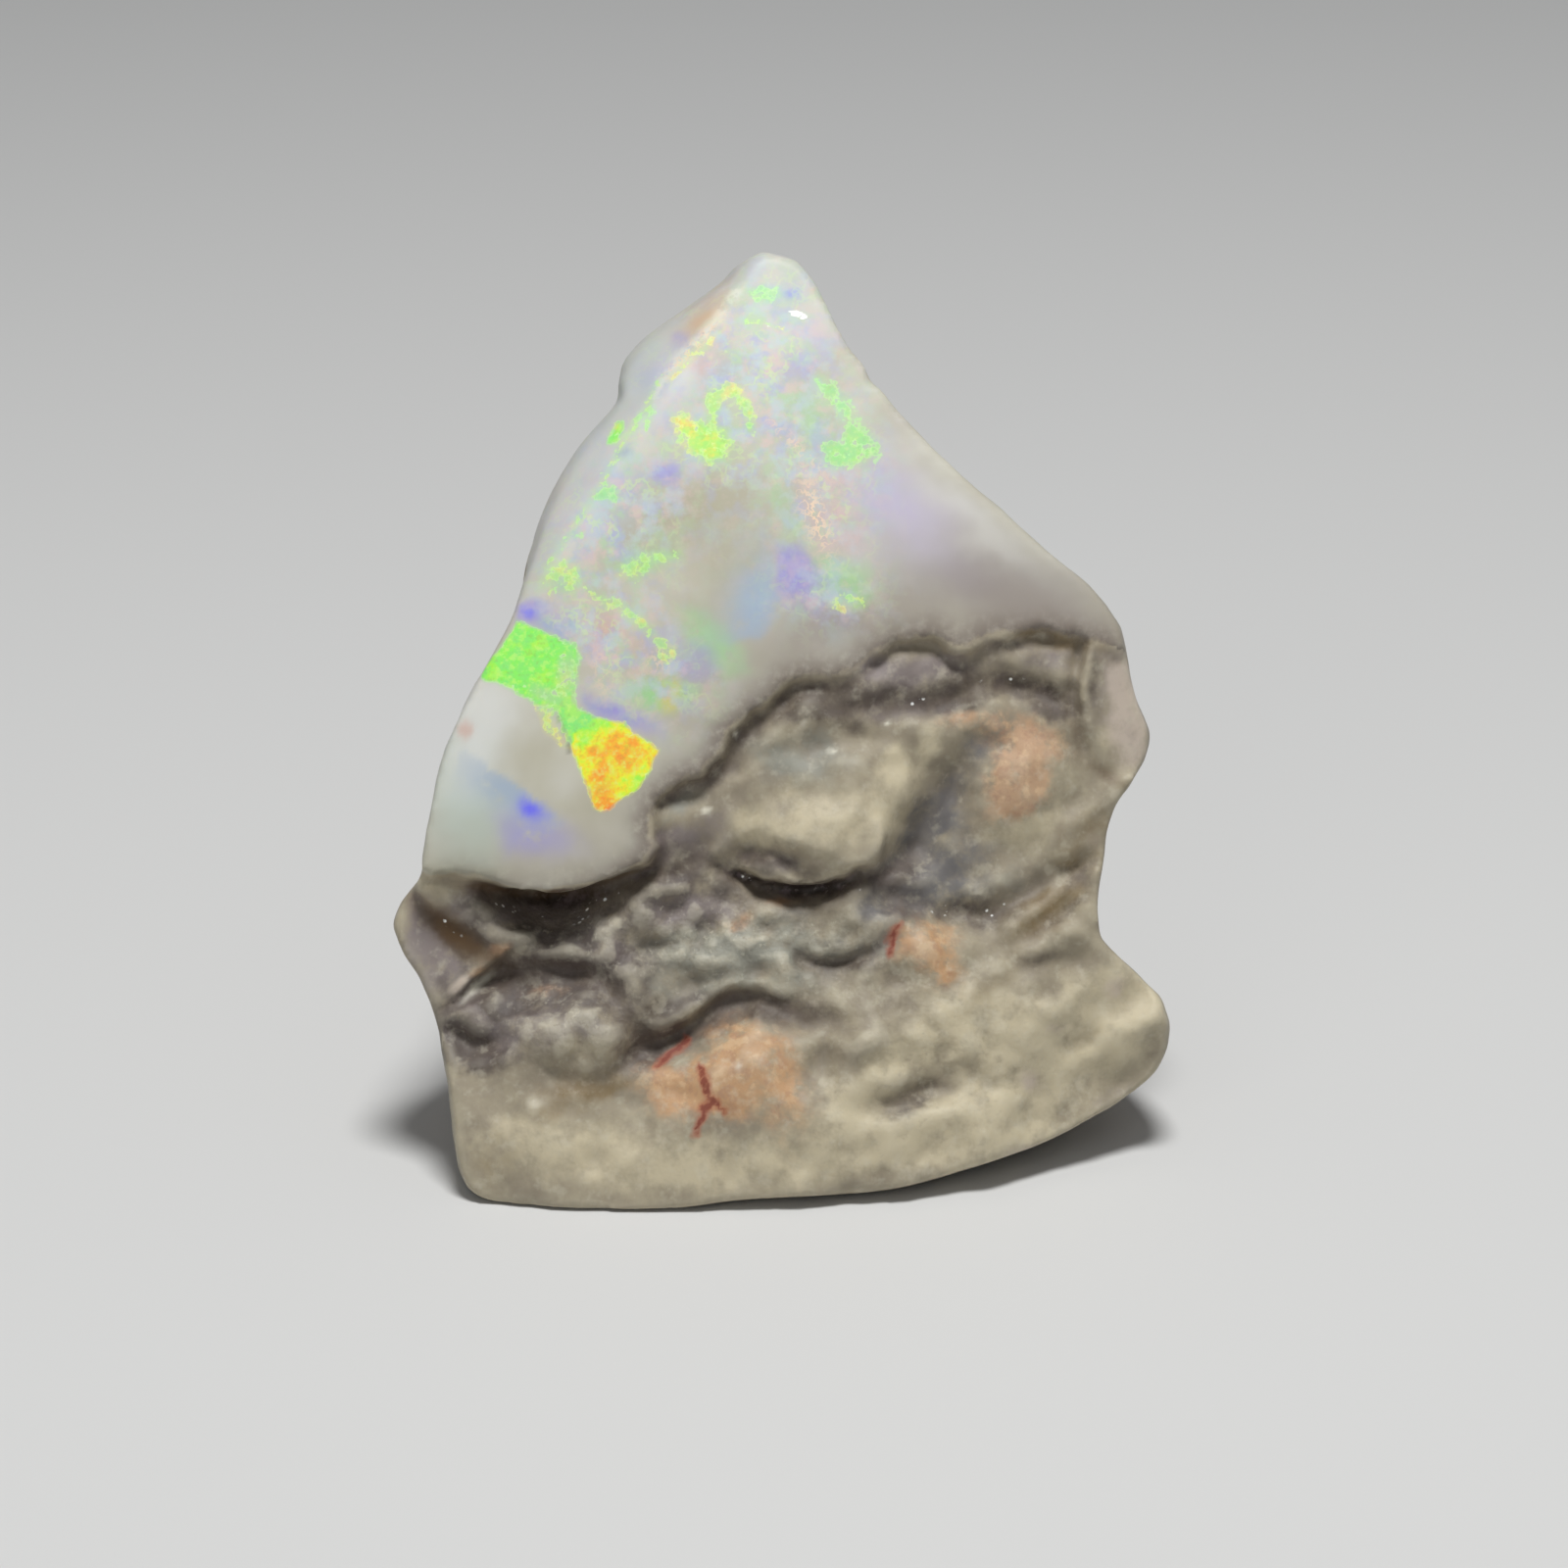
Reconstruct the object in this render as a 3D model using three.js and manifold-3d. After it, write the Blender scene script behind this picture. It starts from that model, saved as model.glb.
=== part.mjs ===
// An opal rub: one chip of rough opal, ground smooth by hand over its upper face and left as it broke below.
// Millimetres, +Z up, front towards -Y. The origin is on the flat that the stone stands on.
//
// The stone is drawn square-on to its broad face, in a frame of its own:
//   u runs to the right, v runs up the face, w stands out of the face towards the viewer.
// That frame leans back from upright, and a level cut at the bottom makes the flat that the stone stands on.

import * as THREE from "three";
import { mergeVertices } from "three/addons/utils/BufferGeometryUtils.js";
import Module from "manifold-3d";

// Driving dimensions.
const LEAN = THREE.MathUtils.degToRad(20); // how far the broad face leans back from upright
const FOOT_SETBACK = 6.4; // from the origin forward to the line where v and w are both zero
const EDGE_ROUND = 1.5; // radius that the broken edges are drawn with
const NOMINAL_THICKNESS = 7; // only spaces the vertices over the edge
const SPHERE_DETAIL = 17; // the icosphere that the stone is shaped from has 20 * (detail + 1)^2 faces
const MIDDLE = new THREE.Vector3(1.5, 9.5, 0); // every point of the outline can be seen from here

// The outline of the stone, square-on to its broad face, clockwise from the tip.
const OUTLINE = [
  [-0.1, 27.5], [0.7, 27.1], [1.4, 25.9], [1.9, 24.9], [3.5, 22.8], [5.3, 20.9], [7.6, 18.8], [8.7, 17.9],
  [9.7, 16.5], [9.9, 15.2], [10.2, 14.3], [10.6, 13.3], [10.4, 12.7], [9.5, 11.3], [9.3, 9.9], [9.1, 8.8],
  [9.2, 7.6], [9.9, 7.0], [10.7, 6.2], [11.1, 5.4], [10.8, 3.9], [8.4, 2.2], [4.7, 0.9], [2.5, 0.3],
  [-1.5, 0], [-3, -0.4], [-5.3, -0.6], [-7.1, -0.6], [-8.4, -0.2], [-9.1, 0.8], [-9.5, 3.8], [-10.2, 6.3],
  [-10.9, 7.4], [-11.1, 8.1], [-10.9, 8.7], [-10.4, 9.2], [-10.3, 9.9], [-9.7, 12.8], [-8.5, 15.4],
  [-7.8, 16.7], [-7.4, 18], [-6.6, 20.4], [-5.5, 22.2], [-4.95, 22.7], [-4.75, 23.6], [-4.6, 24.4],
  [-3.9, 25.1], [-2.2, 26.3], [-1.1, 27.2],
];

// Spot heights of the broken front, as u, v, w: where the skin of the rough stone stands before grinding.
const FRONT_SPOTS = [
  [-6.5, 11.5, 0.2], [-2.5, 13.5, 0.2], [1.5, 18, 0.2], [5.5, 18.5, -1.5], [8, 17.5, -3], [-8.8, 12, -1.2],
  [1.5, 13, -1.6], [1.7, 11.2, -1.4], [5.2, 13.3, -2], [6.7, 11.8, -2.6], [8.9, 13.4, -3.4], [-1, 8.6, -1.7],
  [-1, 7, -1.5], [4.2, 7.4, -1.9], [7.4, 8.6, -3], [8.4, 10.2, -3.5], [-4.5, 8, -1.9], [-7, 8.4, -1.6],
  [-10, 7.6, -2.2], [-8.6, 5, -1.5], [-6.1, 5.2, -0.8], [-3.6, 6, -1.3], [0, 4, -0.5], [3, 5, -0.9],
  [5.5, 4.4, -1.3], [9.7, 5.4, -3.2], [-8.4, 2.4, -0.8], [-6, 1.6, -0.2], [-2.7, 1.3, 0], [2.8, 1.8, -0.6],
  [7.8, 3, -2.7],
];
const SPOT_SPREAD = 1.9; // how far a spot height makes itself felt

// The ledges that the break left, each a line from left to right, with the drop just below it
// and the distance over which the surface comes forward again.
const LEDGES = [
  { name: "brow", drop: 1.1, reach: 2.0, line: [
    [-10.4, 9.2], [-9.1, 9.5], [-7.9, 9.2], [-6.5, 9.1], [-5.1, 9.4], [-3.9, 9.9], [-3, 10.8], [-2.6, 12.1],
    [-1.9, 13.2], [-0.9, 14.3], [0.4, 15.1], [1.5, 15.2], [2.4, 15.8], [3.3, 16.3], [4.2, 16.4], [5.2, 16],
    [5.9, 16.1], [6.9, 16.5], [8, 16.5], [9.1, 16.1]] },
  { name: "shelf", drop: 0.6, reach: 1.3, line: [
    [1.3, 14.5], [2.3, 14.7], [3.7, 14.5], [5.2, 14.5], [5.9, 14.9], [6.7, 15.2], [7.7, 14.9], [8.4, 14.5]] },
  { name: "plateau_edge", drop: 1.0, reach: 1.7, line: [
    [-1.8, 10.1], [-0.7, 9.9], [0.5, 9.5], [1.6, 9.4], [2.6, 9.8], [3.5, 10.4], [4.2, 11.1], [4.7, 12]] },
  { name: "right_step", drop: 0.5, reach: 1.3, line: [
    [3.6, 8.9], [4.2, 8.7], [5.3, 8.6], [6.1, 8.9], [6.8, 9.2], [7.9, 10]] },
  { name: "chip_crack", drop: 0.7, reach: 0.8, line: [
    [-10.5, 9.2], [-9.7, 8.5], [-8.8, 7.9], [-7.9, 7.2]] },
  { name: "left_step", drop: 0.7, reach: 1.2, line: [
    [-9.1, 6], [-8.3, 6.6], [-7.5, 7.1], [-6.4, 7.3], [-5.3, 6.9], [-4.4, 6.3]] },
  { name: "low_step", drop: 0.7, reach: 1.4, line: [
    [-4, 4.8], [-3, 5.2], [-2, 5.9], [-0.9, 6.3], [0, 6.2], [1, 5.9], [2.3, 5.5]] },
];
const LEDGE_FADE = 0.8; // a ledge dies away over this length at each end
const LEDGE_STEP = 1.3; // how far below its line a ledge has dropped all the way
const LEDGE_LIP = 0.25; // how far above its line the drop begins

// The ground face: w = height + slopeU * u + slopeV * v - crown * (distance from its middle)^2.
const GROUND_FACE = { height: 1.3, slopeU: -0.02, slopeV: -0.2, crown: 0.008, middle: [-1, 14] };
// A second ground face falls away to the left of a fold in the first.
const LEFT_BEVEL = { foldTop: [-1.2, 26.6], foldFoot: [-7.1, 17.4], tilt: 0.9 };
const GROUND_BLEND = 0.25; // how softly one ground face runs into the next

// The broken faces of the back, as w = height + slopeU * u + slopeV * v.
// Each has taken away what stood behind it, so the surface is where the foremost one is.
const BACK_FACES = [
  { name: "slab", height: -11.6, slopeU: 0.02, slopeV: 0.09 },
  { name: "upper_left", height: -12.3, slopeU: -0.3, slopeV: 0.07 },
  { name: "upper_right", height: -14.6, slopeU: 0.28, slopeV: 0.2 },
  { name: "lower_right", height: -14.3, slopeU: 0.55, slopeV: -0.1 },
];
const BACK_BLEND = 0.5; // how softly one of them runs into the next

// The sides draw in towards the back, by this share of the distance from the middle.
const SIDE_TAPER = 0.16;
const SIDE_TAPER_SWAY = 0.08; // and by this much more or less round the stone

// Shell-shaped breaks: a ball that stands outside the stone presses the surface in.
const BACK_SCOOPS = [
  { name: "back_upper", centre: [-1, 18, -26], radius: 17 },
  { name: "back_lower", centre: [5, 5, -28.5], radius: 17.8 },
];
const RIGHT_FACET = { centre: new THREE.Vector3(13.4, 16.2, 1.2), radius: 6 };

const { smoothstep, lerp, clamp, euclideanModulo } = THREE.MathUtils;

// The outline as a smooth closed curve.
const rimPoints = OUTLINE.map(([u, v]) => new THREE.Vector3(u, v, 0));
const rim = new THREE.CatmullRomCurve3(rimPoints, true, "centripetal");

// A mean of the spot heights, the near ones counting most.
function brokenFront(u, v) {
  let sum = 0;
  let weight = 0;
  for (const [su, sv, height] of FRONT_SPOTS) {
    const near = Math.exp(-((u - su) ** 2 + (v - sv) ** 2) / (2 * SPOT_SPREAD ** 2)) + 1e-9;
    sum += near * height;
    weight += near;
  }
  return sum / weight;
}

// How far a point is below a ledge's line, and how much of the ledge is left there.
function belowLedge(line, u, v) {
  const first = line[0][0];
  const last = line[line.length - 1][0];
  const reached = clamp(u, first, last);
  const after = clamp(line.findIndex(([lineU]) => lineU > reached), 1, line.length - 1);
  const [[u0, v0], [u1, v1]] = [line[after - 1], line[after]];
  const depth = lerp(v0, v1, (reached - u0) / (u1 - u0)) - v;
  const began = smoothstep(u, first - LEDGE_FADE, first + LEDGE_FADE);
  const ended = smoothstep(u, last - LEDGE_FADE, last + LEDGE_FADE);
  return { depth, share: began * (1 - ended) };
}

function ledgeDrop(u, v) {
  let drop = 0;
  for (const ledge of LEDGES) {
    const { depth, share } = belowLedge(ledge.line, u, v);
    const recovery = Math.exp(-Math.max(depth, 0) / ledge.reach);
    drop += ledge.drop * share * smoothstep(depth, -LEDGE_LIP, LEDGE_STEP) * recovery;
  }
  return drop;
}

function groundHeight(u, v) {
  const { height, slopeU, slopeV, crown, middle } = GROUND_FACE;
  const face = height + slopeU * u + slopeV * v - crown * ((u - middle[0]) ** 2 + (v - middle[1]) ** 2);
  const { foldTop, foldFoot, tilt } = LEFT_BEVEL;
  const across = new THREE.Vector2(foldTop[1] - foldFoot[1], foldFoot[0] - foldTop[0]).normalize();
  const rightOfFold = across.x * (u - foldTop[0]) + across.y * (v - foldTop[1]);
  return softMin(face, face + tilt * rightOfFold, GROUND_BLEND);
}

// The lower of two heights, rounded where they cross.
function softMin(a, b, width) {
  const mix = clamp(0.5 + (b - a) / (2 * width), 0, 1);
  return lerp(b, a, mix) - width * mix * (1 - mix);
}

// Height of the front: the broken skin with its ledges, ground away where it stood above the ground face.
function frontHeight(u, v) {
  return softMin(brokenFront(u, v) - ledgeDrop(u, v), groundHeight(u, v), GROUND_BLEND);
}

function backHeight(u, v) {
  const faces = BACK_FACES.map(({ height, slopeU, slopeV }) => height + slopeU * u + slopeV * v);
  const scoops = BACK_SCOOPS.map(({ centre: [cu, cv, cw], radius }) => {
    const across = Math.hypot(u - cu, v - cv);
    return cw + Math.sqrt(Math.max(radius ** 2 - across ** 2, 0));
  });
  return [...faces, ...scoops].reduce((a, b) => -softMin(-a, -b, BACK_BLEND));
}

// Where a point of the unit ball goes: out from the middle over a flat face, round the edge and back.
// Returns its distance from the middle, and its share of the thickness, 1 at the front and 0 at the back.
function overTheEdge(polar, radius) {
  const flat = radius - EDGE_ROUND;
  const corner = EDGE_ROUND * (Math.PI / 2);
  const wall = NOMINAL_THICKNESS - 2 * EDGE_ROUND;
  const fromFront = Math.min(polar, Math.PI - polar) / (Math.PI / 2);
  const path = fromFront * (flat + corner + wall / 2);
  let out = path;
  let down = 0;
  if (path > flat + corner) {
    out = radius;
    down = EDGE_ROUND + path - flat - corner;
  } else if (path > flat) {
    const turn = (path - flat) / EDGE_ROUND;
    out = flat + EDGE_ROUND * Math.sin(turn);
    down = EDGE_ROUND * (1 - Math.cos(turn));
  }
  const share = down / NOMINAL_THICKNESS;
  return { out, share: polar < Math.PI / 2 ? 1 - share : share };
}

function pressRightFacet(point) {
  const { centre, radius } = RIGHT_FACET;
  const away = point.clone().sub(centre);
  if (away.length() < radius) point.copy(centre).add(away.setLength(radius));
}

// The uncut stone, from an icosphere with each vertex sent to its place.
function stoneBlank() {
  const ball = new THREE.IcosahedronGeometry(1, SPHERE_DETAIL);
  ball.deleteAttribute("normal");
  ball.deleteAttribute("uv");
  const blank = mergeVertices(ball, 1e-5);
  const places = blank.getAttribute("position");
  const point = new THREE.Vector3();
  for (let i = 0; i < places.count; i++) {
    point.fromBufferAttribute(places, i);
    const angle = Math.atan2(point.x, point.y); // clockwise from the tip
    const spoke = rim.getPointAt(euclideanModulo(angle / (2 * Math.PI), 1)).sub(MIDDLE);
    const { out, share } = overTheEdge(Math.acos(clamp(point.z, -1, 1)), spoke.length());
    const taper = (SIDE_TAPER + SIDE_TAPER_SWAY * Math.sin(3 * angle + 1)) * (1 - share) ** 2;
    spoke.setLength(out * (1 - taper)).add(MIDDLE);
    const [u, v] = spoke.toArray();
    point.set(u, v, lerp(backHeight(u, v), frontHeight(u, v), share));
    pressRightFacet(point);
    places.setXYZ(i, point.x, point.y, point.z);
  }
  return blank;
}

const wasm = await Module();
wasm.setup();

function solidOf(geometry) {
  const vertProperties = new Float32Array(geometry.getAttribute("position").array);
  const triVerts = new Uint32Array(geometry.index.array);
  return new wasm.Manifold(new wasm.Mesh({ numProp: 3, vertProperties, triVerts }));
}

function geometryOf(solid) {
  const { vertProperties, triVerts } = solid.getMesh();
  const geometry = new THREE.BufferGeometry();
  geometry.setAttribute("position", new THREE.BufferAttribute(vertProperties, 3));
  geometry.setIndex(new THREE.BufferAttribute(triVerts, 1));
  return geometry;
}

// A block whose top is level with the foot of the stone.
function blockBelowFoot() {
  const size = 80;
  const block = new THREE.BoxGeometry(size, size, size).translate(0, 0, -size / 2);
  block.deleteAttribute("normal");
  block.deleteAttribute("uv");
  return mergeVertices(block);
}

// The face frame in the part's frame: leant back, with its zero line in front of the origin.
const faceFrame = new THREE.Matrix4()
  .makeTranslation(0, -FOOT_SETBACK, 0)
  .multiply(new THREE.Matrix4().makeRotationX(Math.PI / 2 - LEAN));

const stone = solidOf(stoneBlank().applyMatrix4(faceFrame)).subtract(solidOf(blockBelowFoot()));
const geometry = geometryOf(stone);
geometry.computeVertexNormals();

const opal = new THREE.MeshStandardMaterial({ color: 0xb5b0a6, roughness: 0.35, metalness: 0 });
const mesh = new THREE.Mesh(geometry, opal);
mesh.name = "opal_rub";

const opalRub = new THREE.Group();
opalRub.add(mesh);

export default opalRub;
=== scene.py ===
# %% [markdown]
# # An opal rub
# A rub is a piece of rough opal whose skin has been ground away far enough to show what is inside. This
# one has a smooth upper face with play of colour, and below it the grey potch as it broke, in ledges.
# The solid from the CAD stage fixes its size and where it stands, and this lesson carves the surface.

# %% Load the fixed frame
import math

import bpy
import numpy as np
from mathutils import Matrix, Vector, noise


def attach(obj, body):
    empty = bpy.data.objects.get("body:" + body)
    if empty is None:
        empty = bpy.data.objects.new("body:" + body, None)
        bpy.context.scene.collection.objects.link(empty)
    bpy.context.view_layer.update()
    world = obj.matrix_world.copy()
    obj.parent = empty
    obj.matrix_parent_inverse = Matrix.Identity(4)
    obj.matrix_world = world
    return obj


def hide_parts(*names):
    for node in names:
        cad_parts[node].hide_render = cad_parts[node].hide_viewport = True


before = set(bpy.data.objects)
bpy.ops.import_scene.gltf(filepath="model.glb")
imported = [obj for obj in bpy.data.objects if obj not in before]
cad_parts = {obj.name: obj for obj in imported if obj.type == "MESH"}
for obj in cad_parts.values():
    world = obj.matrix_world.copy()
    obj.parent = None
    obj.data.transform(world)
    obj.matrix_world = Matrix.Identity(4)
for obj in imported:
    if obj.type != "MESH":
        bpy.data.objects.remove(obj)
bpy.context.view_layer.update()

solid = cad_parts["opal_rub"]

# %% [markdown]
# ## A frame for carving
# The broad face leans back from upright, and a carver turns a stone until the face is square-on. So
# each vertex gets three numbers in millimetres: u to the right, v up the face, and w out of the face.
# Depths of ledges and the shapes of patches are then easy to state, and one turn takes them back to the
# stone.

# %% Face frame
LEAN = math.radians(20)
SETBACK = 6.4  # the u, v, w origin is this far in front of the middle of the foot
MM = 0.001
TURN = np.array([
    [1, 0, 0],
    [0, math.sin(LEAN), -math.cos(LEAN)],
    [0, math.cos(LEAN), math.sin(LEAN)],
])


def to_face(points):
    """Row frame to u, v, w. Both are in millimetres."""
    return (points + [0, SETBACK, 0]) @ TURN


def from_face(face):
    """u, v, w back to row frame."""
    return face @ TURN.T - [0, SETBACK, 0]


print("the top of the face is at", from_face(np.array([[0.0, 26.5, 0.0]])).round(1), "mm")

# %% [markdown]
# ## An even skin to carve
# The solid has long and short triangles, which would show through fine detail. A voxel remesh rebuilds
# it from small even squares. Plain smoothing would take out the last flat facets but shrink the stone
# too, so each step in is followed by a slightly longer step out, which keeps the size and loses only
# the ripples. The work is done at a thousand times life size, so one Blender unit is a millimetre.

# %% Reading and writing vertices
def get_points(mesh):
    flat = np.empty(len(mesh.vertices) * 3)
    mesh.vertices.foreach_get("co", flat)
    return flat.reshape(-1, 3)


def set_points(mesh, points):
    mesh.vertices.foreach_set("co", points.ravel())
    mesh.update()


def get_normals(mesh):
    flat = np.empty(len(mesh.vertices) * 3)
    mesh.vertices.foreach_get("normal", flat)
    return flat.reshape(-1, 3)


def remesh(obj, voxel):
    """Rebuilds the object's mesh from even squares, with the modifier applied."""
    modifier = obj.modifiers.new("even squares", "REMESH")
    modifier.mode = "VOXEL"
    modifier.voxel_size = voxel
    view = bpy.context.evaluated_depsgraph_get()
    mesh = bpy.data.meshes.new_from_object(obj.evaluated_get(view))
    obj.modifiers.clear()
    old = obj.data
    obj.data = mesh
    bpy.data.meshes.remove(old)


# %% Smoothing along the edges
def edge_web(mesh):
    """The two ends of every edge, and the number of edges at each vertex."""
    ends = np.empty(len(mesh.edges) * 2, np.int32)
    mesh.edges.foreach_get("vertices", ends)
    a, b = ends.reshape(-1, 2).T
    return a, b, np.bincount(ends, minlength=len(mesh.vertices))


def relax(values, web, amount=0.5, rounds=1):
    """Moves each vertex's values towards the average of its neighbours."""
    a, b, count = web
    for _ in range(rounds):
        total = np.column_stack([
            np.bincount(a, column[b], len(count)) + np.bincount(b, column[a], len(count))
            for column in values.T
        ])
        values = values + amount * (total / count[:, None] - values)
    return values


STEP_IN = 0.5
STEP_OUT = 0.52


def soften(points, web, rounds):
    """Smooths out the ripples and keeps the size."""
    for _ in range(rounds):
        points = relax(points, web, STEP_IN)
        points = relax(points, web, -STEP_OUT)
    return points


print("each round steps in by", STEP_IN, "and out by", STEP_OUT)

# %% First skin
FIRST_VOXEL = 0.13
FACET_ROUNDS = 25  # enough to lose the flat facets
BROAD_ROUNDS = 160  # enough to leave only the broad form
stone = bpy.data.objects.new("opal_rub_stone", solid.data.copy())
bpy.context.scene.collection.objects.link(stone)
set_points(stone.data, get_points(stone.data) / MM)
remesh(stone, FIRST_VOXEL)
web = edge_web(stone.data)
points = soften(get_points(stone.data), web, FACET_ROUNDS)
broad = relax(points, web, 0.6, BROAD_ROUNDS)
set_points(stone.data, broad)
broad_normals = get_normals(stone.data) @ TURN
set_points(stone.data, points)
print("skin", len(points), "vertices")

# %% [markdown]
# ## Small tools for carving
# Four measures do most of the work: how far a point is below a ledge line, how far it is inside an
# outline, how near it is to a soft spot, and a lumpy noise. Each takes all the vertices at once, which
# is fast.

# %% Soft steps and joins
def smooth_step(low, high, x):
    """0 below the low value, 1 above the high one, and smooth between them."""
    t = np.clip((x - low) / (high - low), 0, 1)
    return t * t * (3 - 2 * t)


def soft_min(a, b, width):
    """The lower of two heights, with a rounded join."""
    mix = np.clip(0.5 + (b - a) / (2 * width), 0, 1)
    return b + (a - b) * mix - width * mix * (1 - mix)


print("soft steps from 0 to 2:", smooth_step(0, 2, np.array([0.5, 1.0, 1.5])).round(2))


# %% Distances to lines and outlines
def nearest_on_line(uv, line):
    """For each point: distance to the line, side (+1 to the right of travel), the line's third value there,
    distance along the line, and the line's own left-hand direction, turned smoothly at the corners."""
    line = np.asarray(line, float)
    runs = np.diff(line[:, :2], axis=0)
    lengths = np.hypot(*runs.T)
    lefts = np.column_stack([-runs[:, 1], runs[:, 0]]) / lengths[:, None]
    corner_lefts = np.vstack([lefts[:1], lefts[:-1] + lefts[1:], lefts[-1:]])
    corner_lefts /= np.hypot(*corner_lefts.T)[:, None]
    best = np.full(len(uv), 1e9)
    side, value, along = np.zeros((3, len(uv)))
    left = np.zeros((len(uv), 2))
    travelled = 0.0
    for i, (run, length) in enumerate(zip(runs, lengths)):
        a, b = line[i], line[i + 1]
        t = np.clip((uv - a[:2]) @ run / length**2, 0, 1)
        off = uv - a[:2] - t[:, None] * run
        distance = np.hypot(off[:, 0], off[:, 1])
        near = distance < best
        best[near] = distance[near]
        cross = run[0] * off[:, 1] - run[1] * off[:, 0]
        side[near] = np.where(cross[near] > 0, -1, 1)
        along[near] = travelled + (t * length)[near]
        left[near] = (corner_lefts[i] + t[:, None] * (corner_lefts[i + 1] - corner_lefts[i]))[near]
        if len(a) > 2:
            value[near] = (a[2] + (b[2] - a[2]) * t)[near]
        travelled += length
    return best, side, value, along, left, travelled


def inside(uv, outline):
    """Distance inside a closed outline, negative outside it."""
    corners = np.asarray(outline, float)
    distance = nearest_on_line(uv, np.vstack([corners, corners[:1]]))[0]
    within = np.zeros(len(uv), bool)
    for (u0, v0), (u1, v1) in zip(corners, np.roll(corners, -1, axis=0)):
        if v0 == v1:
            continue
        crosses = (v0 > uv[:, 1]) != (v1 > uv[:, 1])
        within ^= crosses & (uv[:, 0] < u0 + (uv[:, 1] - v0) * (u1 - u0) / (v1 - v0))
    return np.where(within, distance, -distance)


trial = np.array([[1.0, 1.0], [3.0, 1.0]])
print("inside a 2 mm square:", inside(trial, [[0, 0], [2, 0], [2, 2], [0, 2]]))


# %% Soft spots
def dab(uv, u, v, long, wide=None, turn=0):
    """A soft spot: 1 in its middle, fading over `long` by `wide` millimetres, turned in degrees."""
    angle = math.radians(turn)
    off = uv - [u, v]
    along = off @ [math.cos(angle), math.sin(angle)]
    across = off @ [-math.sin(angle), math.cos(angle)]
    return np.exp(-((along / long) ** 2) - (across / (wide or long)) ** 2)


def add_bumps(height, places, bumps):
    """Adds soft spots to a height, one by one. Each is u, v, rise, long, wide and turn."""
    for u, v, rise, long, wide, turn in bumps:
        height = height + rise * dab(places, u, v, long, wide, turn)
    return height


print("soft spot:", dab(trial, 1, 1, 2).round(2))


# %% Noise
def shifted(points, size, seed):
    return points / size + [seed * 13.7, seed * 5.1, seed * 9.3]


def lumps(points, size, seed, octaves=3):
    """Fractal noise from about -1 to 1, with lumps of the given size in millimetres."""
    return np.array([noise.fractal(Vector(p), 1.0, 2.0, octaves) for p in shifted(points, size, seed)])


def grains(points, size, seed):
    """Packed round bumps of the given size: about 0.5 on top of each, lower between them."""
    return np.array([0.8 - noise.voronoi(Vector(p))[0][0] for p in shifted(points, size, seed)])


def scoops(points, size, seed):
    """Shallow bowls that meet in ridges, the way stone flakes: about -0.5 in a bowl and 0.5 on a ridge."""
    return np.array([noise.voronoi(Vector(p))[0][0] ** 2 * 1.6 - 0.5 for p in shifted(points, size, seed)])


def wandering(points, size, seed, octaves=3):
    """A sideways shift, across and up, that wanders over the skin. It is about 1 at most."""
    return np.column_stack([lumps(points, size, seed + i, octaves) for i in range(2)])


trial = np.linspace([0, 0, 0], [30, 20, 10], 200)
print("lumps run from", lumps(trial, 2.4, 1).min().round(2), "to", lumps(trial, 2.4, 1).max().round(2))

# %% [markdown]
# ## The broken front
# Potch breaks in ledges: each layer snaps off a little behind the one above, and the step between them
# is undercut. The rough levels could be sculpted by hand, but numbers can be read and changed later. So
# the front starts as spot heights (u, v and w), with a smooth surface through them. The surface at any
# place is the average of the spots, weighed by how near they are.

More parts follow.
